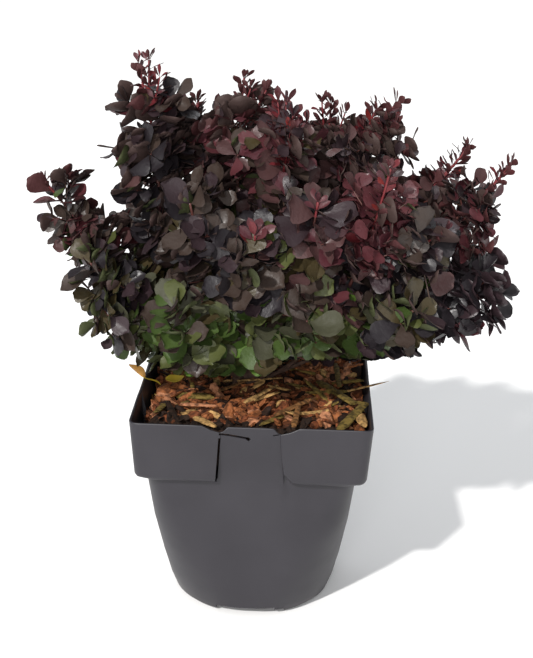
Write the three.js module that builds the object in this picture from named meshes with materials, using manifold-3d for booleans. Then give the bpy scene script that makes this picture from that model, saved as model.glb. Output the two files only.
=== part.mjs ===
// A young purple barberry in a square nursery pot, in millimetres, +Z up, front towards -Y.
// The origin is the middle of the pot's underside. Canes rise from one short crown of wood, and each
// carries its own spray: a leading shoot, side shoots round it, rosettes of spoon-shaped leaves on them,
// and a slim red flush of new growth at the top.
import * as THREE from "three";
import { mergeVertices } from "three/addons/utils/BufferGeometryUtils.js";
import Module from "manifold-3d";

const wasm = await Module();
wasm.setup();

// Driving sizes of the pot
const POT_HEIGHT = 144;
const WALL = 1.6;
const COLLAR_FOOT = 103; // the collar's lower edge
const RIM_HALF = 75; // half the pot's width over the rim
const COLLAR_HALF = 72; // and at the collar's foot
const COLLAR_CORNER = 6;
const PANEL_HALF = 19; // half the width of the plain panel in the middle of each side
const PANEL_PROUD = 74.7; // it is nearly flush with the rim, and leans in to the body at the collar's foot
const PANEL_TOP = 143.3; // the panel's top is a tab just under the rim
const DIP_HALF = 32; // where the rim begins to dip towards the panel
const DIP_FOOT = 139.7;
const FOOT_HEIGHT = 4; // the base is raised this far between its feet
const FLOOR = 2.2;
const ARC_STEPS = 5; // facets in each rounded corner
const PAST = 5; // cutting blocks reach this far past what they cut
const SLIT_DROP = 3.8; // the label slit lies this far under the panel's top
const SLIT_HEIGHT = 1.2;
const GROOVE_HALF = 17; // half the width of the grooves under the base
const BOSS_HALF = 15; // and of the boss they leave in the middle
// Body sections from the ground up: height, half width, corner radius (a circle below, a square above)
const BODY = [
  { z: 0, half: 49, corner: 47 },
  { z: 3.5, half: 52.5, corner: 49.5 },
  { z: 14, half: 55.5, corner: 48 },
  { z: 35, half: 59, corner: 40 },
  { z: 68, half: 63, corner: 25 },
  { z: COLLAR_FOOT, half: 66, corner: 12 },
  { z: POT_HEIGHT, half: 68.5, corner: 9 },
];

// The bark mulch that fills the pot
const SOIL_TOP = 133;
const GAP = 0.3; // between pieces that touch
const CHIPS = 10;
const CHIP_SPREAD = 48; // chips lie this far from the middle at most
const CHIP_LENGTH = 9;
const CHIP_WIDTH = 4;
const CHIP_THICK = 3;
const CHIP_RISE = 0.6; // the middle of a chip above the mulch
const SOIL_CORNER = 8;
const SOIL_STEP = 2; // the mulch draws in by this much at its top

// The crown of wood that the canes leave: a flared foot, a column and a dome
const CROWN_X = -4;
const CROWN_Y = 30; // it stands a little behind the middle of the pot
const CROWN_FOOT_R = 15;
const CROWN_R = 12;
// its flare: radii and heights above the mulch
const CROWN_FLARE = [[CROWN_FOOT_R, 0], [CROWN_R + 1, 2], [CROWN_R, 4]];
const DOME_Z = 144;
const CANE_R = 1.6; // a cane's radius where it leaves the crown
const CANE_TIP_R = 1.2; // and where its spray begins
const LIMB_SIDES = 5;
const LIMB_STEPS = 3;
// Where a cane leaves the crown: height on its axis and steepness in degrees
const TIERS = {
  root: { z: 131.5, rise: 30 },
  low: { z: 132.6, rise: 40 },
  mid: { z: DOME_Z, rise: 46 },
  high: { z: DOME_Z, rise: 60 },
  steep: { z: DOME_Z, rise: 70 },
  crown: { z: DOME_Z, rise: 80 },
};

// Sprays: where each leading shoot ends, the reach of its side shoots, how many, and its red flush
const SPRAYS = [
  { name: "tall_left", tier: "mid", tip: [-69, -2, 352], reach: 20, sides: 3, flush: 32 },
  { name: "left_notch", tier: "steep", tip: [-42, 26, 322], reach: 18, sides: 3, flush: 22 },
  { name: "top_left", tier: "steep", tip: [-12, 16, 340], reach: 22, sides: 4, flush: 20 },
  { name: "top_centre", tier: "high", tip: [15, -10, 330], reach: 22, sides: 4, flush: 30 },
  { name: "top_back_right", tier: "high", tip: [43, 38, 322], reach: 22, sides: 4, flush: 30 },
  { name: "right_top", tier: "crown", tip: [82, 2, 329], reach: 22, sides: 4, flush: 28 },
  { name: "front_spike", tier: "root", tip: [77, -60, 302], reach: 20, sides: 3, flush: 58 },
  { name: "right_mid", tier: "mid", tip: [129, 14, 300], reach: 20, sides: 3, flush: 30 },
  { name: "far_right", tier: "low", tip: [152, -12, 294], reach: 18, sides: 3, flush: 30 },
  { name: "right_front", tier: "mid", tip: [112, -46, 262], reach: 20, sides: 3, flush: 10 },
  { name: "right_out", tier: "root", tip: [140, -24, 220], reach: 20, sides: 3, flush: 0 },
  { name: "right_low", tier: "low", tip: [96, -52, 214], reach: 20, sides: 4, flush: 0 },
  { name: "far_left", tier: "low", tip: [-134, -6, 276], reach: 20, sides: 3, flush: 10 },
  { name: "left_out", tier: "low", tip: [-102, -34, 232], reach: 20, sides: 3, flush: 0 },
  { name: "left_back", tier: "mid", tip: [-92, 36, 250], reach: 20, sides: 4, flush: 8 },
  { name: "left_low", tier: "root", tip: [-98, -12, 200], reach: 18, sides: 3, flush: 0 },
  { name: "front_left_low", tier: "root", tip: [-48, -54, 210], reach: 20, sides: 4, flush: 0 },
  { name: "front_right_low", tier: "root", tip: [32, -60, 208], reach: 20, sides: 4, flush: 0 },
  { name: "front_rose", tier: "mid", tip: [0, -68, 262], reach: 22, sides: 4, flush: 10 },
  { name: "front_left", tier: "mid", tip: [-40, -44, 274], reach: 22, sides: 4, flush: 0 },
  { name: "front_right", tier: "low", tip: [36, -56, 280], reach: 20, sides: 4, flush: 14 },
  { name: "back_left", tier: "root", tip: [-80, 94, 250], reach: 22, sides: 4, flush: 14 },
  { name: "back_mid_left", tier: "steep", tip: [-30, 102, 276], reach: 22, sides: 4, flush: 20 },
  { name: "back_mid_right", tier: "high", tip: [34, 106, 266], reach: 22, sides: 4, flush: 16 },
  { name: "back_right", tier: "root", tip: [92, 90, 248], reach: 22, sides: 4, flush: 14 },
  { name: "back_low", tier: "mid", tip: [2, 110, 204], reach: 22, sides: 4, flush: 0 },
];
const SIDE_FIRST = 0.06; // share of the leader below its first side shoot
const SIDE_SPAN = 0.72; // and the share that its side shoots are spread over
const SIDE_LEAN = 0.55; // how far a side shoot leans along the leader
const SIDE_LIFT = 0.22; // and how far it climbs for its length
const SIDE_R = 1.1; // its radius at the foot
const BEND = 0.45; // how far along its own heading a limb runs before it turns to its tip
const ENTER = 0.2; // share of a limb's length where its cane ends and its spray begins
const TWIG_R = 1.4;
const TWIG_TIP_R = 0.9;
const FLUSH_TIP_R = 0.7;
const TWIG_SIDES = 3;
const LEADER_STEPS = 4;
const LEAF_LENGTH = 26;
const LEAF_WIDTH = 20;
const LEAF_THICK = 0.8;
const LEAF_WIDEST = 0.62; // share of a leaf's length where it is widest
const LEAF_CREST = 0.4; // and where its two faces are furthest apart
const LEAF_STEP = 2.4; // between leaf buds on a shoot
const FIRST_BUD = 0.5; // below the shoot's tip
const LEADER_LEAFY = 0.95; // share of a leader's length that has buds
const SIDE_LEAFY = 0.75; // and of a side shoot's
const TIP_BUDS = 3; // buds at each tip are tried first, then all others in mixed order
const MIXED_ORDER = 12;
const DEPTH_ORDER = 3;
const LEAVES_APART = 12; // least distance between the middles of two leaves of one spray
const LEAVES_PER_SPRAY = 23;
const YOUNG_PITCH = 34; // degrees between a young leaf and its shoot
const LEAF_PITCH = 38; // the least for any other leaf
const PITCH_RANGE = 30; // and how much more it may be
const LEAF_SIZES = [1.4, 1.2, 1, 0.8, 0.65, 0.5]; // the largest that fits its place is taken
const LIGHT_OUT = 1; // how strongly a leaf turns outwards
const LIGHT_UP = 0.5; // and upwards
const TIP_LEAF = 0.72; // the size of a leaf at a tip, which grows to 1 further down
const LEAF_GROWTH = 60;
const FLUSH_LEAF = 0.36; // the size of a young leaf at a red tip
const FLUSH_GROWTH = 0.3; // and how much larger it is at the foot of the flush
const LEAST_EDGE = 0.01; // no joint leaves an edge shorter than this
const MOST_FACES = 36; // nor adds more faces than this
const CELL_GAP = 1.3; // a spray keeps this far from the border of its own space
const LIMB_GAP = 0.9; // and its leaves this far from every cane
const LOWEST_LEAF = POT_HEIGHT + 3;
const SKIRT_RISE = 0.12; // the crown's underside rises this much for each millimetre sideways
const FRONT_RISE = 0.25; // and this much towards the front
const GOLDEN = THREE.MathUtils.degToRad(137.5);

const UP = new THREE.Vector3(0, 0, 1);
const EAST = new THREE.Vector3(1, 0, 0);
const vec = (x, y, z) => new THREE.Vector3(x, y, z);
const rad = THREE.MathUtils.degToRad;

// A repeatable number from 0 to 1 for two counters
function chance(a, b) {
  const s = Math.sin(a * 127.1 + b * 311.7) * 43758.5453;
  return s - Math.floor(s);
}

function toSolid(geometry) {
  const g = geometry.index ? geometry.toNonIndexed() : geometry.clone();
  g.deleteAttribute("normal");
  g.deleteAttribute("uv");
  const merged = mergeVertices(g, 1e-4);
  return new wasm.Manifold(
    new wasm.Mesh({
      numProp: 3,
      vertProperties: merged.attributes.position.array,
      triVerts: new Uint32Array(merged.index.array),
    }),
  );
}

function toGeometry(solid) {
  const mesh = solid.getMesh();
  const places = new Float32Array(mesh.numVert * 3);
  for (let i = 0; i < mesh.numVert; i++) {
    places.set(mesh.vertProperties.subarray(i * mesh.numProp, i * mesh.numProp + 3), i * 3);
  }
  const geometry = new THREE.BufferGeometry();
  geometry.setAttribute("position", new THREE.BufferAttribute(places, 3));
  geometry.setIndex(new THREE.BufferAttribute(mesh.triVerts, 1));
  geometry.computeVertexNormals();
  return geometry;
}

// Joins solids, keeps the largest body and fills any hollow that the joining sealed
function fuse(solids) {
  const bodies = wasm.Manifold.union(solids).decompose();
  return bodies.reduce((best, body) => (body.volume() > best.volume() ? body : best));
}

// A closed solid through rings of equal count, with a fan over each end
function loft(rings) {
  const count = rings[0].length;
  const places = rings.flat();
  const faces = [];
  for (let r = 0; r + 1 < rings.length; r++) {
    for (let i = 0; i < count; i++) {
      const a = r * count + i;
      const b = r * count + ((i + 1) % count);
      faces.push(a, b, b + count, a, b + count, a + count);
    }
  }
  const middle = (ring) => ring.reduce((sum, p) => sum.add(p), vec(0, 0, 0)).divideScalar(count);
  const foot = places.push(middle(rings[0])) - 1;
  const head = places.push(middle(rings[rings.length - 1])) - 1;
  const last = (rings.length - 1) * count;
  for (let i = 0; i < count; i++) {
    const next = (i + 1) % count;
    faces.push(foot, next, i, head, last + i, last + next);
  }
  const geometry = new THREE.BufferGeometry().setFromPoints(places);
  geometry.setIndex(faces);
  return geometry;
}

// One level of the pot: a square of this half width with rounded corners
function squareRing(half, corner, z) {
  const ring = [];
  for (let q = 0; q < 4; q++) {
    const middle = half - corner;
    const cx = q === 0 || q === 3 ? middle : -middle;
    const cy = q < 2 ? middle : -middle;
    for (let j = 0; j <= ARC_STEPS; j++) {
      const angle = (Math.PI / 2) * (q + j / ARC_STEPS);
      ring.push(vec(cx + corner * Math.cos(angle), cy + corner * Math.sin(angle), z));
    }
  }
  return ring;
}

// The body's section at a height, taken in by an offset
function bodyAt(z, inset = 0) {
  let i = 1;
  while (i < BODY.length - 1 && BODY[i].z < z) i++;
  const [low, high] = [BODY[i - 1], BODY[i]];
  const share = THREE.MathUtils.clamp((z - low.z) / (high.z - low.z), 0, 1);
  const half = THREE.MathUtils.lerp(low.half, high.half, share);
  const corner = THREE.MathUtils.lerp(low.corner, high.corner, share);
  return { half: half - inset, corner: Math.max(corner - inset, 1) };
}

function bodySolid(inset, floor, top) {
  const levels = [floor, ...BODY.map((s) => s.z).filter((z) => z > floor + 1 && z < top - 1), top];
  return toSolid(
    loft(
      levels.map((z) => {
        const { half, corner } = bodyAt(z, inset);
        return squareRing(half, corner, z);
      }),
    ),
  );
}

function collarSolid(inset, foot, top) {
  const slope = (RIM_HALF - COLLAR_HALF) / (POT_HEIGHT - COLLAR_FOOT);
  const half = (z) => COLLAR_HALF + slope * (z - COLLAR_FOOT) - inset;
  const corner = COLLAR_CORNER - Math.min(inset, COLLAR_CORNER - 2);
  return toSolid(loft([foot, top].map((z) => squareRing(half(z), corner, z))));
}

function boxSolid(low, high) {
  const size = high.clone().sub(low);
  const box = new THREE.BoxGeometry(size.x, size.y, size.z);
  box.translate(...low.clone().add(high).multiplyScalar(0.5).toArray());
  return toSolid(box);
}

const onFourSides = (solid) => [0, 90, 180, 270].map((turn) => solid.rotate([0, 0, turn]));

// How far out the plain panels are at a height: with the body at the collar's foot, with the collar at the rim
function panelAt(z) {
  const share = (z - COLLAR_FOOT) / (POT_HEIGHT - COLLAR_FOOT);
  return THREE.MathUtils.lerp(bodyAt(COLLAR_FOOT).half, PANEL_PROUD, share);
}

// A section in x and z, drawn out along y between two places
function slabAlongY(shape, from, to) {
  const slab = new THREE.ExtrudeGeometry(shape, { depth: to - from, bevelEnabled: false });
  slab.rotateX(Math.PI / 2);
  slab.translate(0, to, 0);
  return toSolid(slab);
}

// The wedge in front of a side's plain panel, which the collar leaves free
function panelBlock(wall) {
  const half = PANEL_HALF + wall;
  const [foot, top] = [COLLAR_FOOT - PAST, POT_HEIGHT + PAST];
  const out = RIM_HALF + PAST;
  const section = [[out, foot], [out, top], [panelAt(top) - wall, top], [panelAt(foot) - wall, foot]];
  const shape = new THREE.Shape(section.map(([y, z]) => new THREE.Vector2(y, z)));
  return slabAlongY(shape, -half, half).rotate([0, 0, -90]);
}

// The wedge cut out of the rim towards each panel
function rimDip() {
  const top = POT_HEIGHT + 1;
  const ear = PANEL_HALF - 2; // the panel's top corners are cut off
  const left = [[-DIP_HALF, top], [-PANEL_HALF, DIP_FOOT], [-ear, PANEL_TOP]];
  const right = left.map(([x, z]) => [-x, z]).reverse();
  const shape = new THREE.Shape([...left, ...right].map(([x, z]) => new THREE.Vector2(x, z)));
  return slabAlongY(shape, -RIM_HALF - PAST, -RIM_HALF + 2 * PAST);
}

// The slit for a plant label in the front panel
function labelSlit() {
  const y = -panelAt(PANEL_TOP);
  const top = PANEL_TOP - SLIT_DROP;
  return boxSolid(vec(-PANEL_HALF + 3, y - WALL, top - SLIT_HEIGHT), vec(-1, y + 2 * WALL, top));
}

// Grooves under the base leave a foot in each quarter and a boss in the middle
function baseGrooves() {
  const low = vec(-GROOVE_HALF, -RIM_HALF, -PAST);
  return onFourSides(boxSolid(low, vec(GROOVE_HALF, -BOSS_HALF, FOOT_HEIGHT)));
}

function potSolid() {
  const collar = collarSolid(0, COLLAR_FOOT, POT_HEIGHT).subtract(
    wasm.Manifold.union(onFourSides(panelBlock(0))),
  );
  const outside = bodySolid(0, 0, POT_HEIGHT).add(collar);
  const roomInCollar = collarSolid(WALL, COLLAR_FOOT + WALL, POT_HEIGHT + 2).subtract(
    wasm.Manifold.union(onFourSides(panelBlock(WALL))),
  );
  const room = bodySolid(WALL, FOOT_HEIGHT + FLOOR, POT_HEIGHT + 2).add(roomInCollar);
  const cuts = [room, ...onFourSides(rimDip()), labelSlit(), ...baseGrooves()];
  return fuse([outside.subtract(wasm.Manifold.union(cuts))]);
}

// One chip of bark, lying on the mulch at its own turn and tilt
function barkChip(i) {
  const length = CHIP_LENGTH * (1 + chance(i, 1));
  const chip = new THREE.BoxGeometry(length, CHIP_WIDTH * (1 + chance(i, 2)), CHIP_THICK);
  const places = chip.attributes.position;
  const narrowed = 0.55; // the far end's share of the chip's width
  for (let v = 0; v < places.count; v++) {
    if (places.getX(v) > 0) places.setY(v, places.getY(v) * narrowed);
  }
  chip.rotateX(rad(30 * (chance(i, 3) - 0.5)));
  chip.rotateY(rad(24 * (chance(i, 4) - 0.5)));
  chip.rotateZ(Math.PI * chance(i, 5));
  const x = CHIP_SPREAD * (2 * chance(i, 6) - 1);
  const y = CHIP_SPREAD * (2 * chance(i, 7) - 1);
  const clear = Math.hypot(x - CROWN_X, y - CROWN_Y) > CROWN_FOOT_R + length * 0.7;
  chip.translate(x, y, SOIL_TOP + CHIP_RISE);
  return clear ? [toSolid(chip)] : [];
}

// The mulch fills the pot just clear of its walls, and its top is a little uneven
function soilSolid() {
  const inset = WALL + GAP;
  const body = bodySolid(inset, FOOT_HEIGHT + FLOOR + GAP, SOIL_TOP - 1);
  const wide = collarSolid(inset, COLLAR_FOOT + WALL + GAP, SOIL_TOP - 1).subtract(
    wasm.Manifold.union(onFourSides(panelBlock(inset))),
  );
  const chips = Array.from({ length: CHIPS }, (_, i) => barkChip(i)).flat();
  const half = bodyAt(SOIL_TOP).half - inset - GAP;
  const foot = squareRing(half, SOIL_CORNER, SOIL_TOP - SOIL_STEP);
  const top = toSolid(loft([foot, squareRing(half - SOIL_STEP, SOIL_CORNER, SOIL_TOP)]));
  return fuse([body, wide, top, ...chips]);
}

// Two directions across a third, at right angles
function across(direction) {
  const guide = Math.abs(direction.z) < 0.8 ? UP : EAST;
  const u = guide.clone().cross(direction).normalize();
  return [u, direction.clone().cross(u).normalize()];
}

// A tapering limb through points, as a closed solid
function limb(points, radii, sides) {
  const rings = points.map((p, i) => {
    const before = points[Math.max(i - 1, 0)];
    const after = points[Math.min(i + 1, points.length - 1)];
    const [u, v] = across(after.clone().sub(before).normalize());
    return Array.from({ length: sides }, (_, k) => {
      const angle = (2 * Math.PI * k) / sides;
      const out = u.clone().multiplyScalar(Math.cos(angle)).addScaledVector(v, Math.sin(angle));
      return p.clone().addScaledVector(out, radii[i]);
    });
  });
  return toSolid(loft(rings));
}

const along = (curve, from, to, steps) =>
  Array.from({ length: steps + 1 }, (_, i) => curve.getPoint(from + ((to - from) * i) / steps));

const taper = (r0, r1, steps) =>
  Array.from({ length: steps + 1 }, (_, i) => THREE.MathUtils.lerp(r0, r1, i / steps));

// A spray's limb: one curve from just clear of the crown to the leading shoot's tip
function limbOf(spray) {
  const tier = TIERS[spray.tier];
  const tip = vec(...spray.tip);
  const azimuth = Math.atan2(tip.y - CROWN_Y, tip.x - CROWN_X);
  const rise = rad(tier.rise);
  const way = vec(Math.cos(azimuth) * Math.cos(rise), Math.sin(azimuth) * Math.cos(rise), Math.sin(rise));
  const fromColumn = (CROWN_R + GAP + CANE_R * Math.sin(rise)) / Math.cos(rise);
  const clear = tier.z < DOME_Z ? fromColumn : CROWN_R + GAP;
  const start = vec(CROWN_X, CROWN_Y, tier.z).addScaledVector(way, clear);
  const bend = start.clone().addScaledVector(way, start.distanceTo(tip) * BEND);
  return { curve: new THREE.QuadraticBezierCurve3(start, bend, tip) };
}

function crownSolid() {
  const floor = SOIL_TOP + GAP;
  const flare = CROWN_FLARE.map(([r, rise]) => [r, floor + rise]);
  const profile = [[0, floor], ...flare, [CROWN_R, DOME_Z]].map(([r, z]) => new THREE.Vector2(r, z));
  for (let i = 1; i <= 4; i++) {
    const angle = (Math.PI / 2) * (i / 4);
    const r = i === 4 ? 0 : CROWN_R * Math.cos(angle);
    profile.push(new THREE.Vector2(r, DOME_Z + CROWN_R * Math.sin(angle)));
  }
  const stump = new THREE.LatheGeometry(profile, 16);
  stump.rotateX(Math.PI / 2);
  stump.translate(CROWN_X, CROWN_Y, 0);
  return toSolid(stump);
}

// The cane's centre points and radii, from the crown to where its spray begins
function caneOf({ curve }) {
  return { points: along(curve, 0, ENTER, LIMB_STEPS), radii: taper(CANE_R, CANE_TIP_R, LIMB_STEPS) };
}

// Shoots of a spray: the leader first, then side shoots by the golden angle, each bending upwards
function shootsOf(spray, index, { curve }) {
  const begin = ENTER + GAP / curve.getLength();
  const leader = { curve, from: begin, steps: LEADER_STEPS, r0: TWIG_R, r1: TWIG_TIP_R };
  if (spray.flush) leader.r1 = FLUSH_TIP_R;
  const shoots = [leader];
  for (let i = 0; i < spray.sides; i++) {
    const share = SIDE_FIRST + (SIDE_SPAN * (i + 0.5)) / spray.sides;
    const t = begin + (1 - begin) * share;
    const heading = curve.getTangent(t);
    const [u, v] = across(heading);
    const turn = GOLDEN * (i + 1) + 2 * Math.PI * chance(index, 11);
    const way = u.multiplyScalar(Math.cos(turn)).addScaledVector(v, Math.sin(turn));
    way.addScaledVector(heading, SIDE_LEAN).normalize();
    const length = spray.reach * (1 - 0.3 * share) * (0.85 + 0.3 * chance(index, 20 + i));
    const start = curve.getPoint(t);
    const end = start.clone().addScaledVector(way, length).addScaledVector(UP, length * SIDE_LIFT);
    const side = new THREE.LineCurve3(start, end);
    shoots.push({ curve: side, from: 0, steps: 1, r0: SIDE_R, r1: TWIG_TIP_R });
  }
  return shoots;
}

// A leaf's six corners: root, widest points, tip and the crests of its two faces.
// Its upper face looks along its shoot, and turns up and outwards to the light.
function leafCorners(bud, size) {
  const [u, v] = across(bud.heading);
  const out = u.multiplyScalar(Math.cos(bud.turn)).addScaledVector(v, Math.sin(bud.turn));
  const way = out.multiplyScalar(Math.sin(bud.pitch)).addScaledVector(bud.heading, Math.cos(bud.pitch));
  const light = vec(bud.place.x, bud.place.y, 0).normalize().multiplyScalar(LIGHT_OUT);
  light.addScaledVector(UP, LIGHT_UP).add(bud.heading);
  const side = light.cross(way).normalize();
  const face = way.clone().cross(side).normalize();
  const at = (l, w, f) =>
    bud.place
      .clone()
      .addScaledVector(way, l * LEAF_LENGTH * size)
      .addScaledVector(side, w * LEAF_WIDTH * size)
      .addScaledVector(face, f * LEAF_THICK);
  return [
    at(0, 0, 0),
    at(LEAF_WIDEST, 0.5, 0),
    at(1, 0, 0),
    at(LEAF_WIDEST, -0.5, 0),
    at(LEAF_CREST, 0, 0.5),
    at(LEAF_CREST, 0, -0.5),
  ];
}

function leafSolid(corners) {
  const faces = [];
  for (let i = 0; i < 4; i++) {
    const next = (i + 1) % 4;
    faces.push(i, next, 5, next, i, 4);
  }
  const geometry = new THREE.BufferGeometry().setFromPoints(corners);
  geometry.setIndex(faces);
  return toSolid(geometry);
}

// Distance from a point to a chain of straight pieces
function distanceTo(point, chain) {
  let least = Infinity;
  const nearest = vec(0, 0, 0);
  for (let i = 0; i + 1 < chain.length; i++) {
    new THREE.Line3(chain[i], chain[i + 1]).closestPointToPoint(point, true, nearest);
    least = Math.min(least, nearest.distanceTo(point));
  }
  return least;
}

// Each spray's own space is what lies nearer to its leader than to any other, above the pot
function staysHome(points, index, leaders, canes) {
  return points.every((p) => {
    if (p.z < LOWEST_LEAF + SKIRT_RISE * Math.abs(p.x) + FRONT_RISE * Math.max(0, -p.y)) return false;
    const own = distanceTo(p, leaders[index]) + CELL_GAP;
    if (leaders.some((leader, k) => k !== index && distanceTo(p, leader) < own)) return false;
    return canes.every((cane) => distanceTo(p, cane) > CANE_R + LIMB_GAP);
  });
}

const between = (a, b, share) => a.clone().lerp(b, share);

// Corners and the points between them, for testing where a leaf reaches
function leafTests([root, left, tip, right]) {
  const edges = [left, right].flatMap((side) => [between(root, side, 0.5), side, between(side, tip, 0.5)]);
  return [...edges, tip, between(root, tip, 0.5)];
}

// Buds along every shoot, from the tips inwards, each turned on from the last by the golden angle
function budsOf(shoots, spray, index) {
  const buds = [];
  shoots.forEach(({ curve, from }, s) => {
    const length = curve.getLength() * (1 - from);
    const count = Math.floor((length * (s ? SIDE_LEAFY : LEADER_LEAFY)) / LEAF_STEP);
    for (let i = 0; i < count; i++) {
      const below = FIRST_BUD + i * LEAF_STEP;
      const t = 1 - ((1 - from) * below) / length;
      const wild = chance(index * 40 + s, i + 60);
      const young = s === 0 && below < spray.flush;
      const youngSize = FLUSH_LEAF + (FLUSH_GROWTH * below) / spray.flush;
      const fullSize = TIP_LEAF + Math.min(below / LEAF_GROWTH, 1 - TIP_LEAF);
      const mixed = TIP_BUDS + MIXED_ORDER * wild + (DEPTH_ORDER * below) / length;
      buds.push({
        place: curve.getPoint(t),
        heading: curve.getTangent(t),
        turn: GOLDEN * (i + 3 * s) + 2 * Math.PI * chance(index, s),
        pitch: rad(young ? YOUNG_PITCH : LEAF_PITCH + PITCH_RANGE * wild),
        size: young ? youngSize : fullSize,
        rank: i < TIP_BUDS ? i + wild : mixed,
      });
    }
  });
  return buds.sort((a, b) => a.rank - b.rank);
}

// The shortest edge of a solid: joints that leave slivers are avoided
function shortestEdge(solid) {
  const { numProp, vertProperties, triVerts } = solid.getMesh();
  const corner = (i) => vec(...vertProperties.subarray(triVerts[i] * numProp, triVerts[i] * numProp + 3));
  let least = Infinity;
  for (let i = 0; i < triVerts.length; i += 3) {
    const [a, b, c] = [corner(i), corner(i + 1), corner(i + 2)];
    least = Math.min(least, a.distanceTo(b), b.distanceTo(c), c.distanceTo(a));
  }
  return least;
}

// The body with one more twig or leaf, or the body as it was if the joint would be untidy
function grown(body, addition) {
  const next = fuse([body, addition]);
  const faces = next.numTri() - body.numTri();
  return shortestEdge(next) > LEAST_EDGE && faces < MOST_FACES ? next : body;
}

function spraySolid(spray, index, limbs, leaders, canes) {
  const [leader, ...sides] = shootsOf(spray, index, limbs[index]);
  const twig = ({ curve, from, steps, r0, r1 }) =>
    limb(along(curve, from, 1, steps), taper(r0, r1, steps), TWIG_SIDES);
  let body = twig(leader);
  const shoots = [leader];
  for (const side of sides) {
    if (!staysHome(along(side.curve, 0.3, 1, 3), index, leaders, canes)) continue;
    const next = grown(body, twig(side));
    if (next !== body) shoots.push(side);
    body = next;
  }
  const middles = [];
  for (const bud of budsOf(shoots, spray, index)) {
    if (middles.length >= LEAVES_PER_SPRAY) break;
    const fits = (s) => staysHome(leafTests(leafCorners(bud, s * bud.size)), index, leaders, canes);
    const size = LEAF_SIZES.find(fits);
    if (!size) continue;
    const corners = leafCorners(bud, size * bud.size);
    const middle = between(corners[0], corners[2], 0.6);
    const apart = LEAVES_APART * Math.min(size * bud.size, 1);
    if (middles.some((other) => other.distanceTo(middle) < apart)) continue;
    const next = grown(body, leafSolid(corners));
    if (next !== body) middles.push(middle);
    body = next;
  }
  return body;
}

const material = (color, roughness) => new THREE.MeshStandardMaterial({ color, roughness, metalness: 0 });
const POT_PLASTIC = material(0x55525a, 0.55);
const BARK_MULCH = material(0x8f5230, 0.95);
const OLD_WOOD = material(0x5b4334, 0.85);
const CANE_BARK = material(0x5f3a30, 0.75);
const FOLIAGE = material(0x3f2a30, 0.5);

const plant = new THREE.Group();
function addPiece(name, solid, finish) {
  const mesh = new THREE.Mesh(toGeometry(solid), finish);
  mesh.name = name;
  plant.add(mesh);
}

const limbs = SPRAYS.map(limbOf);
const canes = limbs.map(caneOf);
const leaders = limbs.map(({ curve }) => along(curve, ENTER, 1, 6));
const canePoints = canes.map((cane) => cane.points);

addPiece("pot", potSolid(), POT_PLASTIC);
addPiece("bark_mulch", soilSolid(), BARK_MULCH);
addPiece("crown_wood", crownSolid(), OLD_WOOD);
SPRAYS.forEach((spray, i) => {
  addPiece(`cane_${spray.name}`, limb(canes[i].points, canes[i].radii, LIMB_SIDES), CANE_BARK);
  addPiece(`spray_${spray.name}`, spraySolid(spray, i, limbs, leaders, canePoints), FOLIAGE);
});

export default plant;
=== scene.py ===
import math

import bpy
import numpy as np
from mathutils import Matrix, Vector, noise


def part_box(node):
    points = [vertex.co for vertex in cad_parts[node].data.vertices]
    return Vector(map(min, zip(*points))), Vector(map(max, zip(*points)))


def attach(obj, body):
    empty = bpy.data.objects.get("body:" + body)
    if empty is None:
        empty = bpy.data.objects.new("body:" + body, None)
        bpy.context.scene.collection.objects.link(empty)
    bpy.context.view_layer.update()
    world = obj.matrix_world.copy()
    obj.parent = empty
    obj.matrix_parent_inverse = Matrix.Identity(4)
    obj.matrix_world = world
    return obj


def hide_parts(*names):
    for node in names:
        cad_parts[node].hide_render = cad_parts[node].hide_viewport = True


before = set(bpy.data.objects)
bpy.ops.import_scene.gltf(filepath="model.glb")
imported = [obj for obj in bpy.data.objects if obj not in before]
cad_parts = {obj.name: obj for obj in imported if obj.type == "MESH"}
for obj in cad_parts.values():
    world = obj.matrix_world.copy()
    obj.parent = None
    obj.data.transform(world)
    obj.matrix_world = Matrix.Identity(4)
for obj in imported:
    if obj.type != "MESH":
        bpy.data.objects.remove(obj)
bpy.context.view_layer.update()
mm = 0.001
print("frame loaded,", len(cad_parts), "CAD nodes")


# small helpers

def deselectAll():
    if bpy.context.object and bpy.context.object.mode != "OBJECT":
        bpy.ops.object.mode_set(mode="OBJECT")
    bpy.ops.object.select_all(action="DESELECT")


def pick(piece):
    deselectAll()
    piece.select_set(True)
    bpy.context.view_layer.objects.active = piece


def settle(piece):
    # the place goes into the mesh, as a CAD node's does
    pick(piece)
    bpy.ops.object.transform_apply(location=True, rotation=True, scale=True)


def applyModifiers(piece):
    pick(piece)
    for modifier in list(piece.modifiers):
        bpy.ops.object.modifier_apply(modifier=modifier.name)


def smoothByAngle(piece, degrees):
    pick(piece)
    bpy.ops.object.shade_smooth_by_angle(angle=math.radians(degrees))


def pointsOf(piece):
    points = np.zeros(len(piece.data.vertices) * 3)
    piece.data.vertices.foreach_get("co", points)
    return points.reshape(-1, 3)


def putPoints(piece, points):
    piece.data.vertices.foreach_set("co", np.asarray(points, np.float32).ravel())
    piece.data.update()


sharpFrom = 75  # degrees, in the smooth pieces made from arrays


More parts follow.
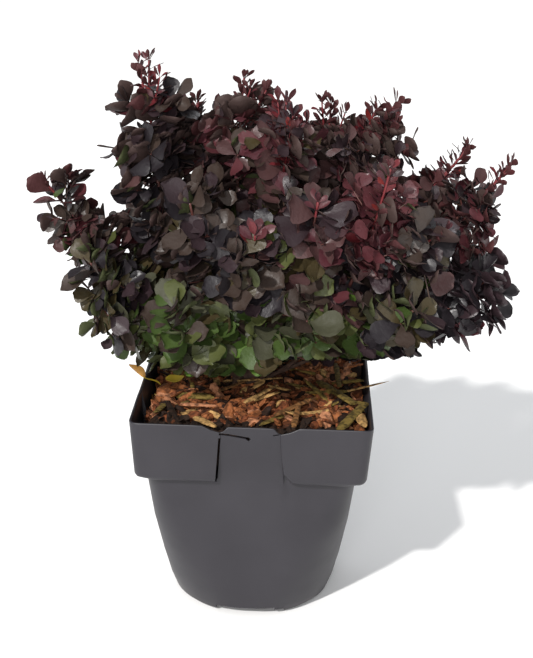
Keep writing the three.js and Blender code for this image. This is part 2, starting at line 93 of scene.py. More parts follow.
def joinedMesh(name, points, faces, finishes, finishOf, smooth=True):
    # one piece from arrays, faces all with the same number of corners
    mesh = bpy.data.meshes.new(name)
    mesh.vertices.add(len(points))
    mesh.vertices.foreach_set("co", np.asarray(points, np.float32).ravel())
    mesh.loops.add(faces.size)
    mesh.loops.foreach_set("vertex_index", faces.astype(np.int32).ravel())
    mesh.polygons.add(len(faces))
    mesh.polygons.foreach_set("loop_start", np.arange(0, faces.size, faces.shape[1], dtype=np.int32))
    mesh.polygons.foreach_set("material_index", finishOf.astype(np.int32))
    mesh.polygons.foreach_set("use_smooth", np.full(len(faces), smooth))
    mesh.update(calc_edges=True)
    mesh.validate()
    if smooth:
        mesh.set_sharp_from_angle(angle=math.radians(sharpFrom))
    for finish in finishes:
        mesh.materials.append(finish)
    piece = bpy.data.objects.new(name, mesh)
    bpy.context.scene.collection.objects.link(piece)
    return piece


def tubeFaces(rings, sides):
    # triangles of a closed solid of rings with one more corner at each end
    faces = []
    for r in range(rings - 1):
        for i in range(sides):
            a = r * sides + i
            b = r * sides + (i + 1) % sides
            faces += [(a, b, b + sides), (a, b + sides, a + sides)]
    foot = rings * sides
    last = (rings - 1) * sides
    for i in range(sides):
        after = (i + 1) % sides
        faces += [(foot, after, i), (foot + 1, last + i, last + after)]
    return np.array(faces)


def chance(a, b):
    # the source's repeatable number from 0 to 1 for two counters, or arrays of them; b keeps its uses apart
    s = np.sin(np.asarray(a, float) * 127.1 + np.asarray(b, float) * 311.7) * 43758.5453
    return s - np.floor(s)


def varied(pair, a, b):
    # pair is the least and what chance adds to it
    return pair[0] + pair[1] * float(chance(a, b))


def anyTurn(a, b):
    return 2 * math.pi * float(chance(a, b))


def unit(vectors):
    vectors = np.asarray(vectors, float)
    return vectors / np.maximum(np.linalg.norm(vectors, axis=-1, keepdims=True), 1e-12)


def smoothStep(low, high, x):
    t = np.clip((np.asarray(x, float) - low) / (high - low), 0, 1)
    return t * t * (3 - 2 * t)


# camera, floor and light

cameraView = {
    "target": (6.06, 0.0, 181.31),  # mm
    "distance": 863.9,
    "pitch": 19.24,  # degrees down
    "yaw": 1.64,
    "roll": 1.34,
    "lens": 72.83,
    "sensor": 36,
    "clip": (0.05, 30),  # metres
}


def addCamera(view):
    turn = (Matrix.Rotation(math.radians(view["yaw"]), 4, "Z")
            @ Matrix.Rotation(math.radians(90 - view["pitch"]), 4, "X")
            @ Matrix.Rotation(math.radians(view["roll"]), 4, "Z"))
    away = turn @ Vector((0, 0, view["distance"]))
    place = (Vector(view["target"]) + away) * mm
    bpy.ops.object.camera_add(location=place, rotation=turn.to_euler())
    camera = bpy.context.object
    camera.data.lens = view["lens"]
    camera.data.sensor_width = view["sensor"]
    camera.data.clip_start, camera.data.clip_end = view["clip"]
    bpy.context.scene.camera = camera


studio = {
    "floorSize": 16.0,
    "floorColour": (0.92, 0.92, 0.92, 1),
    "floorRoughness": 0.9,
    "skyColour": (0.96, 0.98, 1.0, 1),
    "skyStrength": 0.56,
    "sun": {"from": (-0.6, -1.15, 1.05), "strength": 3.5, "angle": 2.5, "colour": (1.0, 0.98, 0.95)},
    # place in metres, size, watts, colour; each lamp looks at the crown
    "lamps": [
        ((-0.1, -1.75, 0.74), 0.6, 12, (1.0, 0.99, 0.98)),
        ((-0.2, 1.2, 1.5), 1.0, 6, (0.95, 0.97, 1.0)),
    ],
    "lampsLookAt": (0.0, 0.0, 0.2),
}


def addStudio(values):
    deselectAll()
    bpy.ops.mesh.primitive_plane_add(size=values["floorSize"], location=(0, 0, 0))
    floor = bpy.context.object
    floor.name = "floor"
    paper = bpy.data.materials.new("floorPaper")
    paper.use_nodes = True
    shader = paper.node_tree.nodes["Principled BSDF"]
    shader.inputs["Base Color"].default_value = values["floorColour"]
    shader.inputs["Roughness"].default_value = values["floorRoughness"]
    floor.data.materials.append(paper)
    for place, size, watts, colour in values["lamps"]:
        aim = Vector(values["lampsLookAt"]) - Vector(place)
        turn = aim.to_track_quat("-Z", "Y").to_euler()
        bpy.ops.object.light_add(type="AREA", location=place, rotation=turn)
        lamp = bpy.context.object
        lamp.data.shape = "DISK"
        lamp.data.size = size
        lamp.data.energy = watts
        lamp.data.color = colour
    sun = values["sun"]
    turn = (-Vector(sun["from"])).to_track_quat("-Z", "Y").to_euler()
    bpy.ops.object.light_add(type="SUN", location=sun["from"], rotation=turn)
    lamp = bpy.context.object
    lamp.data.energy = sun["strength"]
    lamp.data.angle = math.radians(sun["angle"])
    lamp.data.color = sun["colour"]
    sky = bpy.data.worlds.new("studioSky")
    sky.use_nodes = True
    background = sky.node_tree.nodes["Background"]
    background.inputs["Color"].default_value = values["skyColour"]
    background.inputs["Strength"].default_value = values["skyStrength"]
    bpy.context.scene.world = sky
    bpy.context.scene.view_settings.view_transform = "Standard"


addCamera(cameraView)
addStudio(studio)
print("camera, floor and lamps placed")


# finishes

def addNode(tree, kind, place, **settings):
    node = tree.nodes.new(kind)
    node.location = place
    for key, value in settings.items():
        setattr(node, key, value)
    return node


def addLinks(tree, *rows):
    for source, output, target, entry in rows:
        tree.links.new(source.outputs[output], target.inputs[entry])


def newGroup(name, inputs, outputs):
    # inputs as name and start value, a number or a colour; outputs as name and kind
    group = bpy.data.node_groups.new(name, "ShaderNodeTree")
    for label, start in inputs:
        kind = "Float" if isinstance(start, float) else "Color"
        socket = group.interface.new_socket(name=label, in_out="INPUT", socket_type="NodeSocket" + kind)
        socket.default_value = start
    for label, kind in outputs:
        group.interface.new_socket(name=label, in_out="OUTPUT", socket_type="NodeSocket" + kind)
    start = addNode(group, "NodeGroupInput", (-700, 0))
    end = addNode(group, "NodeGroupOutput", (500, 0))
    where = addNode(group, "ShaderNodeTexCoord", (-700, -260))
    return group, start, end, where


def makeGrainGroup():
    # uneven gloss and fine relief, placed by the piece's own coordinates
    group, start, end, where = newGroup(
        "unevenGrain",
        (("Gloss Scale", 60.0), ("Roughness Low", 0.4), ("Roughness High", 0.6), ("Relief Scale", 400.0),
         ("Relief Detail", 3.0)),
        (("Roughness", "Float"), ("Height", "Float")))
    gloss = addNode(group, "ShaderNodeTexNoise", (-380, 120))
    relief = addNode(group, "ShaderNodeTexNoise", (-380, -180))
    spread = addNode(group, "ShaderNodeMapRange", (0, 120))
    gloss.inputs["Detail"].default_value = 3
    spread.inputs["From Min"].default_value = 0.3
    spread.inputs["From Max"].default_value = 0.7
    addLinks(
        group,
        (where, "Object", gloss, "Vector"),
        (where, "Object", relief, "Vector"),
        (start, "Gloss Scale", gloss, "Scale"),
        (start, "Relief Scale", relief, "Scale"),
        (start, "Relief Detail", relief, "Detail"),
        (gloss, "Fac", spread, "Value"),
        (start, "Roughness Low", spread, "To Min"),
        (start, "Roughness High", spread, "To Max"),
        (spread, "Result", end, "Roughness"),
        (relief, "Fac", end, "Height"))
    return group


def makeMottleGroup():
    # two colours mixed in soft patches
    group, start, end, where = newGroup(
        "softMottle",
        (("Colour A", (0.5, 0.5, 0.5, 1)), ("Colour B", (0.4, 0.4, 0.4, 1)), ("Scale", 30.0), ("Detail", 4.0),
         ("From", 0.35), ("To", 0.65)),
        (("Colour", "Color"),))
    patches = addNode(group, "ShaderNodeTexNoise", (-380, 0))
    share = addNode(group, "ShaderNodeMapRange", (-100, 0))
    mix = addNode(group, "ShaderNodeMix", (220, 0), data_type="RGBA")
    addLinks(
        group,
        (where, "Object", patches, "Vector"),
        (start, "Scale", patches, "Scale"),
        (start, "Detail", patches, "Detail"),
        (patches, "Fac", share, "Value"),
        (start, "From", share, "From Min"),
        (start, "To", share, "From Max"),
        (share, "Result", mix, "Factor"),
        (start, "Colour A", mix, 6),  # the mix node has its colours at 6 and 7 and gives one at 2
        (start, "Colour B", mix, 7),
        (mix, 2, end, "Colour"))
    return group


grainGroup = makeGrainGroup()
mottleGroup = makeMottleGroup()


def makeFinish(name, colour, colourB=None, mottle=(30, 4, 0.35, 0.65), gloss=(60, 0.4, 0.6),
               relief=(400, 3), bump=0.2, depth=0.3, specular=0.5):
    # colour alone is plain all over; with colourB the two are mottled
    finish = bpy.data.materials.new(name)
    finish.use_nodes = True
    tree = finish.node_tree
    shader = tree.nodes["Principled BSDF"]
    shader.location = (400, 0)
    shader.inputs["Base Color"].default_value = (*colour, 1)
    shader.inputs["Specular IOR Level"].default_value = specular
    if colourB:
        patches = addNode(tree, "ShaderNodeGroup", (-100, 260), node_tree=mottleGroup)
        patches.inputs["Colour A"].default_value = (*colour, 1)
        patches.inputs["Colour B"].default_value = (*colourB, 1)
        for socket, value in zip(("Scale", "Detail", "From", "To"), mottle):
            patches.inputs[socket].default_value = value
        addLinks(tree, (patches, "Colour", shader, "Base Color"))
    grain = addNode(tree, "ShaderNodeGroup", (-300, -100), node_tree=grainGroup)
    for socket, value in zip(("Gloss Scale", "Roughness Low", "Roughness High"), gloss):
        grain.inputs[socket].default_value = value
    for socket, value in zip(("Relief Scale", "Relief Detail"), relief):
        grain.inputs[socket].default_value = value
    raised = addNode(tree, "ShaderNodeBump", (100, -200))
    raised.inputs["Strength"].default_value = bump
    raised.inputs["Distance"].default_value = depth * mm
    addLinks(
        tree,
        (grain, "Roughness", shader, "Roughness"),
        (grain, "Height", raised, "Height"),
        (raised, "Normal", shader, "Normal"))
    return finish


# the nursery pot: one sleeve of rings, from the base up the outside, over the rim and down the inside

pot = {
    "collarFoot": 103.0,
    "collarHalf": 72.0,
    "collarCorner": 6.0,
    "lip": 5.0,  # rounding of the collar's lower edge
    "flapCorner": 8.5,  # and of its corner beside each panel
    "liftSpan": (92.0, 103.0),  # that corner's lift sets in and fades out between these heights
    "liftEnd": (108.0, 122.0),
    "wall": 1.6,
    "panelHalf": 18.2,  # at the rim
    "panelSpread": 2.6,  # the panel widens by this much on each side, down to the collar's foot
    "spreadFrom": 139.0,
    "panelFlush": 0.954,  # at the rim the panel is out as far as this share of the collar's step
    "panelTop": 143.4,
    "panelShoulder": 139.6,
    "shoulderSpan": (13.5, 17.8),  # the panel's top falls to its shoulder between these
    "dipFoot": 139.7,
    "dipSpan": (20.0, 31.0),  # and the rim rises again between these
    "followFrom": 122.0,  # from here up the walls follow the line of the rim
    "sideDrop": 0.5,  # the rims of the left and right sides run straight, this far below the corners
    "footHeight": 5.9,
    "floor": 2.2,
    "floorRound": 1.5,
    "wave": 0.25,  # how far the thin wall strays inwards
    "waveAt": 70.0,  # at this distance from the middle
    "waveScale": 0.022,
    "waveSpan": (4.0, 30.0),  # the base stays true
    # heights of the rings: outside on the body and on the collar, then inside on the collar and on the body
    "bodyRings": (3.5, 8, 14, 20, 27, 35, 45, 56, 68, 80, 92, 99),
    "collarRings": (113, 118, 123, 128, 133, 138, 141.5),
    "insideCollarRings": (141, 137, 132, 125, 118, 112),
    "insideBodyRings": (92, 68, 45, 27, 14),
    # roundings as drop from the rim's top and inset, and as height and inset at the foot
    "rimRound": ((0.5, 0.0), (0.12, 0.25), (0.0, 0.7), (0.08, 1.2), (0.6, 1.6)),
    "footRound": ((0.0, 1.2), (0.0, 0.5), (0.5, 0.0)),
    "lipOutside": (0, 18, 36, 54, 72, 90),  # degrees round the collar's lower edge
    "lipInside": (72, 40, 0),
    # body sections from the ground up: height, half width, corner radius
    "body": [(0, 49, 47), (3.5, 52.5, 49.5), (14, 55.5, 48), (35, 59, 40), (68, 63, 25), (103, 66, 12),
             (144, 68.5, 9)],
    "smoothTo": 32,  # degrees
    "plasticA": (0.0160, 0.0143, 0.0190),
    "plasticB": (0.0238, 0.0218, 0.0275),
}
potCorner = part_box("pot")[1]
potHeight = potCorner.z / mm
rimHalf = potCorner.x / mm


def bodyAt(z, inset=0.0):
    heights = [s[0] for s in pot["body"]]
    half = np.interp(z, heights, [s[1] for s in pot["body"]])
    corner = np.interp(z, heights, [s[2] for s in pot["body"]])
    return half - inset, max(corner - inset, 1.0)


def collarAt(z, inset=0.0):
    slope = (rimHalf - pot["collarHalf"]) / (potHeight - pot["collarFoot"])
    half = pot["collarHalf"] + slope * (z - pot["collarFoot"])
    return half - inset, max(pot["collarCorner"] - inset, 2.0)


def sideY(section, x):
    # how far out a rounded square's side lies at x from the middle of that side
    half, corner = section
    over = np.clip(np.abs(x) - (half - corner), 0, corner)
    return (half - corner) + np.sqrt(corner * corner - over * over)


def panelEdge(z):
    # half the panel's width at a height
    down = (pot["spreadFrom"] - z) / (pot["spreadFrom"] - pot["collarFoot"])
    return pot["panelHalf"] + pot["panelSpread"] * float(np.clip(down, 0, 1))


def panelShare(z, onSide=False):
    # a panel lies with the body at the collar's foot and nearly with the collar at the rim
    rise = (z - pot["collarFoot"]) / (potHeight - pot["collarFoot"])
    return (1.0 if onSide else pot["panelFlush"]) * float(np.clip(rise, 0, 1))


def rimTop(x, isPanel, onSide):
    # the rim dips towards each panel, and the panel's top is a low round-shouldered tab
    x = abs(x)
    risen = float(smoothStep(*pot["dipSpan"], x))
    if onSide:
        return potHeight - pot["sideDrop"] * (1 - risen)
    if isPanel:
        fallen = float(smoothStep(*pot["shoulderSpan"], x))
        return pot["panelTop"] - (pot["panelTop"] - pot["panelShoulder"]) * fallen
    return pot["dipFoot"] + (potHeight - pot["dipFoot"]) * risen


def flapFoot(x, edge):
    # how far the collar's lower edge is raised at its corner beside the panel, on one side only
    radius = pot["flapCorner"]
    inside = radius - (x - edge)
    return radius - math.sqrt(radius * radius - inside * inside) if 0 < inside < radius else 0.0


panelStations = 9
flapStations = 14
panelGap = 0.25  # between the last station of a panel and the first of the flap beside it


def ringOf(z, share, inset):
    # one ring of the sleeve as x, y, distance along its side, whether it is in a panel and on a side;
    # share 0 follows the body, 1 the collar; the panels lean from one to the other
    ring = []
    body = bodyAt(z, inset)
    collar = collarAt(z, inset)
    edge = panelEdge(z) + inset
    halfSide = [(edge * i / (panelStations - 1), share * panelShare(z)) for i in range(panelStations)]
    corner45 = [s[0] - s[1] + s[1] * math.sin(math.pi / 4) for s in (body, collar)]
    last = corner45[0] + (corner45[1] - corner45[0]) * share
    for i in range(flapStations):
        t = i / (flapStations - 1)
        eased = math.sin(t * math.pi / 2) * 0.6 + t * 0.4  # closer together towards the corner
        halfSide.append((edge + panelGap + (last - edge - panelGap) * eased, share))
    marks = [(x, s, i < panelStations) for i, (x, s) in enumerate(halfSide)]
    stations = [(-x, s, p) for x, s, p in reversed(marks[1:])] + marks[:-1]
    for turn in range(4):
        angle = math.pi / 2 * turn
        onSide = turn % 2 == 1
        for x, s, isPanel in stations:
            if isPanel and onSide:
                s *= panelShare(z, True) / max(panelShare(z), 1e-6)
            y = sideY(body, x) * (1 - s) + sideY(collar, x) * s
            ring.append((x * math.cos(angle) + y * math.sin(angle), x * math.sin(angle) - y * math.cos(angle),
                         x, isPanel, onSide))
    return ring


def lipRings(degrees, foot, inset):
    turns = [math.radians(d) for d in degrees]
    return [(foot + pot["lip"] * (1 - math.cos(turn)), math.sin(turn), inset) for turn in turns]


def potRings():
    # levels as height, share of collar and inset, from the underside round the rim to the floor inside
    wall = pot["wall"]
    base = pot["footHeight"] + pot["floor"]
    levels = [(z, 0, inset) for z, inset in pot["footRound"]]
    levels += [(z, 0, 0.0) for z in pot["bodyRings"]]
    levels += lipRings(pot["lipOutside"], pot["collarFoot"], 0.0)
    levels += [(z, 1, 0.0) for z in pot["collarRings"]]
    levels += [(potHeight - drop, 1, inset) for drop, inset in pot["rimRound"]]
    levels += [(z, 1, wall) for z in pot["insideCollarRings"]]
    levels += lipRings(pot["lipInside"], pot["collarFoot"] + wall, wall)
    levels += [(z, 0, wall) for z in (*pot["insideBodyRings"], base + pot["floorRound"])]
    levels += [(base, 0, wall + pot["floorRound"])]
    return levels


def followRim(z, x, isPanel, onSide):
    # the upper part of every ring column is squeezed to end at the rim's own height
    start = pot["followFrom"]
    if z > start:
        return start + (z - start) * (rimTop(x, isPanel, onSide) - start) / (potHeight - start)
    return z


def addPot():
    levels = potRings()
    count = len(ringOf(50.0, 0, 0.0))
    deselectAll()
    bpy.ops.mesh.primitive_circle_add(vertices=count, radius=0.05, fill_type="NOTHING", location=(0, 0, 0))
    piece = bpy.context.object
    piece.name = "pot_shell"
    bpy.ops.object.mode_set(mode="EDIT")
    bpy.ops.mesh.select_all(action="SELECT")
    rise = 1 * mm  # from ring to ring of the plain sleeve
    for _ in levels[1:]:
        bpy.ops.mesh.extrude_region_move(TRANSFORM_OT_translate={"value": (0, 0, rise)})
    bpy.ops.object.mode_set(mode="OBJECT")
    # each vertex of the plain sleeve knows its ring and station by its place
    plain = pointsOf(piece)
    rings = np.rint(plain[:, 2] / rise).astype(int)
    stations = np.rint(np.arctan2(plain[:, 0], -plain[:, 1]) / (2 * math.pi / count)).astype(int) % count
    shaped = np.zeros((len(levels), count, 3))
    for r, (z, share, inset) in enumerate(levels):
        for s, (x, y, along, isPanel, onSide) in enumerate(ringOf(z, share, inset)):
            height = followRim(z, along, isPanel, onSide)
            lift = 0.0 if isPanel else flapFoot(along, panelEdge(z) + inset)
            lift *= float(smoothStep(*pot["liftSpan"], z))
            height += lift * (1 - float(smoothStep(*pot["liftEnd"], z)))
            stray = noise.noise(Vector((x, y, z)) * pot["waveScale"]) * 0.5 + 0.5
            out = 1 - pot["wave"] * stray / pot["waveAt"] * float(smoothStep(*pot["waveSpan"], z))
            shaped[r, s] = (x * out, y * out, height)
    putPoints(piece, shaped[rings, stations] * mm)
    # flat ends close the base and the floor inside
    bpy.ops.object.mode_set(mode="EDIT")
    bpy.ops.mesh.select_all(action="DESELECT")
    bpy.ops.mesh.select_mode(type="VERT")
    bpy.ops.object.mode_set(mode="OBJECT")
    for end in (0, len(levels) - 1):
        for vertex, ring in zip(piece.data.vertices, rings):
            vertex.select = bool(ring == end)
        bpy.ops.object.mode_set(mode="EDIT")
        bpy.ops.mesh.edge_face_add()
        bpy.ops.mesh.select_all(action="DESELECT")
        bpy.ops.object.mode_set(mode="OBJECT")
    bpy.ops.object.mode_set(mode="EDIT")
    bpy.ops.mesh.select_all(action="SELECT")
    bpy.ops.mesh.normals_make_consistent(inside=False)
    bpy.ops.object.mode_set(mode="OBJECT")
    cutPot(piece)
    smoothByAngle(piece, pot["smoothTo"])
    piece.data.materials.append(makeFinish(
        "potPlastic", pot["plasticA"], pot["plasticB"], mottle=(22, 5, 0.3, 0.7), gloss=(28, 0.42, 0.56),
        relief=(900, 2), bump=0.12, depth=0.15, specular=0.45))
    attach(piece, "root")
    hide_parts("pot")
    return piece


# cutters as centre, size and tilt in degrees, in mm, at the front unless the piece repeats them
potCuts = {
    "reach": 70.0,  # how far the grooves under the base are cut from its middle
    "grooveHalf": 17.0,
    "bossHalf": 15.0,
    "footSteps": ((-17.5, 5.6), (19.0, 3.9)),  # across and height: the photo's feet end in uneven steps
    "stepAt": -56.0,  # and the middle and size of the cuts that make them
    "stepSize": (8.0, 34.0),
    "labelSlot": ((-10.6, -72.5, 137.3), (17.6, 12.0, 1.4), 10.0),
    "slotEnd": ((-1.4, -72.5, 135.2), (2.4, 12.0, 2.2), 40.0),
    "panelSlit": ((-19.9, -70.0, 120.5), (1.3, 14.0, 31.0), 3.6),
    "tabHook": ((15.6, -72.5, 139.0), (4.2, 12.0, 0.8), -18.0),
}


def addCutter(centre, size, tilt=0.0):
    bpy.ops.mesh.primitive_cube_add(size=1, location=Vector(centre) * mm)
    cutter = bpy.context.object
    cutter.scale = Vector(size) * mm
    cutter.rotation_euler = (0, math.radians(tilt), 0)
    settle(cutter)
    return cutter


def cutPot(piece):
    deselectAll()
    cutters = []
    boss = potCuts["bossHalf"]
    span = potCuts["reach"] - boss
    for turn in range(4):
        size = (2 * potCuts["grooveHalf"], span, 2 * pot["footHeight"])
        cutter = addCutter((0, -(boss + span / 2), 0), size)
        cutter.rotation_euler = (0, 0, math.pi / 2 * turn)
        settle(cutter)
        cutters.append(cutter)
    wide, deep = potCuts["stepSize"]
    for side, rise in potCuts["footSteps"]:
        cutters.append(addCutter((side, potCuts["stepAt"], 0), (wide, deep, 2 * rise)))
    for name in ("labelSlot", "slotEnd", "tabHook", "panelSlit"):
        cutters.append(addCutter(*potCuts[name]))
    for cutter in cutters:
        cut = piece.modifiers.new("cut", "BOOLEAN")
        cut.operation = "DIFFERENCE"
        cut.solver = "EXACT"
        cut.object = cutter
        applyModifiers(piece)
        bpy.data.objects.remove(cutter)


potPiece = addPot()
print("pot:", len(potPiece.data.polygons), "faces")


# bark mulch: a bed under chips, splinters and crumbs

mulch = {
    "top": 133.0,
    "bedSteps": 72,
    "bedDepth": 12.0,
    "bedSunk": 3.0,  # the bed lies this far under the chips' own level
    "mounds": ((3.2, 0, 70), (1.6, 10, 60)),  # rise, from and to: towards the back and the right
    "hollows": ((3.6, 52, 71), (4.0, 46, 62), (1.5, 60, 72)),  # at the left, the front and the right
    "lumps": 3.0,
    "lumpScales": (0.075, 0.2),
    "streak": 0.34,  # how dark the darker streaks of each chip are
    "chunks": 330,
    "flakes": 400,
    "splinters": 34,
    "crumbs": 1050,
    "wallGap": 0.35,
    "shadeFrom": 25.0,  # chips this near the front wall take a painted shade colour, and more of them at the left
    "shadeSlope": 0.07,
    "shadeSpread": 1.5,
    "liftSpread": (-0.8, 1.2),
    "shrunkBy": ((3.2, 1.0), (3.4, 0.6)),  # a dark gap at the left and right walls, the front and the back
    "stumpAt": (-4.0, 30.0),
    "stumpClear": 10.0,
    "chipClear": 0.35,  # and a chip keeps this share of its length more from the stump
    "heldFrom": 6.0,  # the collar's wall holds chips from this far above its foot
    "freeFrom": 1.0,  # to this far under the rim
    "rimClear": 9.0,  # chips this near the wall stay below the rim
    "rimDepth": 1.6,
    "colours": {
        "cinnamon": (0.29, 0.098, 0.033),
        "redBark": (0.19, 0.056, 0.020),
        "umber": (0.085, 0.026, 0.009),
        # cocoa: the colour of dark chips, and on the crumbs also painted shade in the gaps
        "cocoa": (0.020, 0.008, 0.004),
        "paleWood": (0.46, 0.27, 0.10),
        "oliveWood": (0.165, 0.112, 0.026),
        "umberWood": (0.23, 0.105, 0.035),
        "rosyBark": (0.42, 0.18, 0.090),
        # near-black brown that paints shade: on chips near the front wall and on the bed under the chips
        "paintedShade": (0.024, 0.012, 0.007),
    },
}


def insideWall(points):
    # points in mm are kept within the pot's inside at their height
    points = points.copy()
    gap = pot["wall"] + mulch["wallGap"]
    z = np.clip(points[:, 2], pot["collarFoot"] + mulch["heldFrom"], potHeight)
    inner = np.array([collarAt(h, gap)[0] for h in z])
    lean = [panelShare(h) for h in z]
    panel = np.array([bodyAt(h, gap)[0] * (1 - s) + collarAt(h, gap)[0] * s for h, s in zip(z, lean)])
    low = points[:, 2] < potHeight - mulch["freeFrom"]
    for a, b in ((0, 1), (1, 0)):
        nearPanel = np.abs(points[:, b]) < pot["panelHalf"] + gap
        limit = np.where(nearPanel, panel, inner)
        limit = np.where(low, limit, 1e3)  # nothing holds what lies above the rim
        clearLow, clearHigh = mulch["shrunkBy"][a]
        points[:, a] = np.clip(points[:, a], clearLow - limit, limit - clearHigh)
    return points


def slopes(rows, ways):
    return sum(rise * smoothStep(low, high, way) for (rise, low, high), way in zip(rows, ways))


def bedHeight(x, y):
    mound = slopes(mulch["mounds"], (y, x))
    hollow = slopes(mulch["hollows"], (-x, -y, x))
    coarse, fine = mulch["lumpScales"]
    lumps = [noise.noise(Vector((a, b, 3.0)) * coarse) + 0.5 * noise.noise(Vector((a, b, 9.0)) * fine)
             for a, b in zip(np.ravel(x), np.ravel(y))]
    return mulch["top"] + mound - hollow + mulch["lumps"] * np.reshape(lumps, np.shape(x))


def addBed(finish):
    deselectAll()
    steps = mulch["bedSteps"]
    bpy.ops.mesh.primitive_grid_add(x_subdivisions=steps, y_subdivisions=steps, size=2 * rimHalf * mm)
    bed = bpy.context.object
    bed.name = "mulch_bed"
    points = pointsOf(bed) / mm
    points[:, 2] = mulch["top"]
    points = insideWall(points)
    points[:, 2] = bedHeight(points[:, 0], points[:, 1]) - mulch["bedSunk"]
    putPoints(bed, points * mm)
    thick = bed.modifiers.new("depth", "SOLIDIFY")
    thick.thickness = mulch["bedDepth"] * mm
    thick.offset = -1
    thick.use_even_offset = False
    applyModifiers(bed)
    putPoints(bed, insideWall(pointsOf(bed) / mm) * mm)
    smoothByAngle(bed, 60)
    bed.data.materials.append(finish)
    return bed


chipReach = rimHalf - 3.5  # chips are strewn this far from the middle
chipSides = 9
chipForm = {
    "outline": (0.82, 1.10),
    "blockiness": 0.7,  # 1 is an oval, less is more of a block
    "crown": (0.45, 0.75),  # height of the top corner as a share
}
chipRings = ((-0.5, 0.60), (-0.2, 0.98), (0.12, 1.0), (0.36, 0.84), (0.5, 0.46))  # height share, width share


def chipBatch(seed, count, length, width, thick, tilt, rough, bend=0.0):
    # irregular flakes and chunks; every size is a pair from least to most, in mm
    draw = np.random.default_rng(seed)
    size = [draw.uniform(low, high, count) for low, high in (length, width, thick)]
    angles = np.arange(chipSides) * 2 * math.pi / chipSides
    local = np.zeros((count, chipSides * len(chipRings) + 2, 3))
    outline = draw.uniform(*chipForm["outline"], (count, chipSides))
    blocky = chipForm["blockiness"]
    blockX, blockY = (np.sign(f) * np.abs(f) ** blocky for f in (np.cos(angles), np.sin(angles)))
    for r, (h, w) in enumerate(chipRings):
        jitter = draw.uniform(1 - rough, 1 + rough, (count, chipSides)) * outline * w * 0.5
        part = slice(r * chipSides, (r + 1) * chipSides)
        local[:, part, 0] = blockX * jitter * size[0][:, None]
        local[:, part, 1] = blockY * jitter * size[1][:, None]
        local[:, part, 2] = (h + draw.uniform(-0.5, 0.5, (count, chipSides)) * rough) * size[2][:, None]
    local[:, -2, 2] = -0.5 * size[2]
    local[:, -1, 2] = draw.uniform(*chipForm["crown"], count) * size[2]
    curl = draw.uniform(-bend, bend, count)
    local[..., 2] += curl[:, None] * local[..., 0] ** 2 / np.maximum(size[0], 1)[:, None]
    turn = draw.uniform(0, 2 * math.pi, count)
    lean = np.radians(draw.uniform(-tilt, tilt, (2, count)))
    y = local[..., 1] * np.cos(lean[0])[:, None] - local[..., 2] * np.sin(lean[0])[:, None]
    z = local[..., 1] * np.sin(lean[0])[:, None] + local[..., 2] * np.cos(lean[0])[:, None]
    x = local[..., 0] * np.cos(lean[1])[:, None] + z * np.sin(lean[1])[:, None]
    z = -local[..., 0] * np.sin(lean[1])[:, None] + z * np.cos(lean[1])[:, None]
    placed = np.stack((x * np.cos(turn)[:, None] - y * np.sin(turn)[:, None],
                       x * np.sin(turn)[:, None] + y * np.cos(turn)[:, None], z), axis=-1)
    where = draw.uniform(-chipReach, chipReach, (count, 2))
    return placed, where, size, draw


def addChips(finishes, names):
    index = {name: i for i, name in enumerate(names)}
    kinds = [
        # seed, count, length, width, thickness, tilt, roughness, bend, lift, finishes with their shares
        # crumbs lie low in the gaps between chips; mostly cocoa, their own dark colour and painted shade
        (11, mulch["crumbs"], (1.8, 4.2), (1.4, 3.2), (1.0, 2.4), 60, 0.2, 0.0, -2.2,
         (("cocoa", 6), ("umber", 2), ("redBark", 1))),
        (12, mulch["chunks"], (7.5, 18.0), (6.0, 12.0), (2.6, 6.5), 50, 0.17, 0.12, -0.6,
         (("cinnamon", 5), ("redBark", 4), ("umber", 3), ("rosyBark", 2), ("cocoa", 3), ("paleWood", 0.5))),
        (13, mulch["flakes"], (9.0, 22.0), (3.6, 8.5), (1.2, 2.8), 45, 0.14, 0.25, 0.4,
         (("cinnamon", 4), ("redBark", 4), ("umber", 3), ("rosyBark", 2), ("cocoa", 2), ("paleWood", 0.7),
          ("oliveWood", 0.7))),
        (14, mulch["splinters"], (18.0, 40.0), (2.6, 6.0), (1.2, 2.4), 24, 0.12, 0.10, 3.8,
         (("paleWood", 4), ("oliveWood", 3), ("umber", 1), ("cinnamon", 2))),
    ]
    allPoints = []
    allFinish = []
    stumpX, stumpY = mulch["stumpAt"]
    faces = tubeFaces(len(chipRings), chipSides)
    corners = chipSides * len(chipRings) + 2
    for seed, count, length, width, thick, tilt, rough, bend, lift, shares in kinds:
        placed, where, size, draw = chipBatch(seed, count, length, width, thick, tilt, rough, bend)
        clear = mulch["stumpClear"] + size[0] * mulch["chipClear"]
        keep = np.hypot(where[:, 0] - stumpX, where[:, 1] - stumpY) > clear
        placed, where = placed[keep], where[keep]
        height = bedHeight(where[:, 0], where[:, 1]) + lift + draw.uniform(*mulch["liftSpread"], len(where))
        placed[..., 0] += where[:, 0, None]
        placed[..., 1] += where[:, 1, None]
        placed[..., 2] += height[:, None]
        allPoints.append(placed.reshape(-1, 3))
        weights = np.array([w for _, w in shares], float)
        dealt = draw.choice([index[n] for n, _ in shares], len(where), p=weights / weights.sum())
        behind = where[:, 1] + mulch["shadeSlope"] * where[:, 0] + chipReach
        spread = mulch["shadeSpread"]
        limit = mulch["shadeFrom"] + draw.uniform(-spread, spread, len(where))
        # chips near the front wall are painted dark as shade under the rim
        dealt = np.where(behind < limit, index["paintedShade"], dealt)
        allFinish.append(np.repeat(dealt, len(faces)))
    points = np.concatenate(allPoints)
    nearWall = np.abs(points[:, :2]).max(axis=1) > rimHalf - mulch["rimClear"]
    points[nearWall, 2] = np.minimum(points[nearWall, 2], potHeight - mulch["rimDepth"])
    points = insideWall(points)
    total = len(points) // corners
    allFaces = (faces[None] + (np.arange(total) * corners)[:, None, None]).reshape(-1, 3)
    return joinedMesh("bark_chips", points * mm, allFaces, finishes, np.concatenate(allFinish), smooth=False)


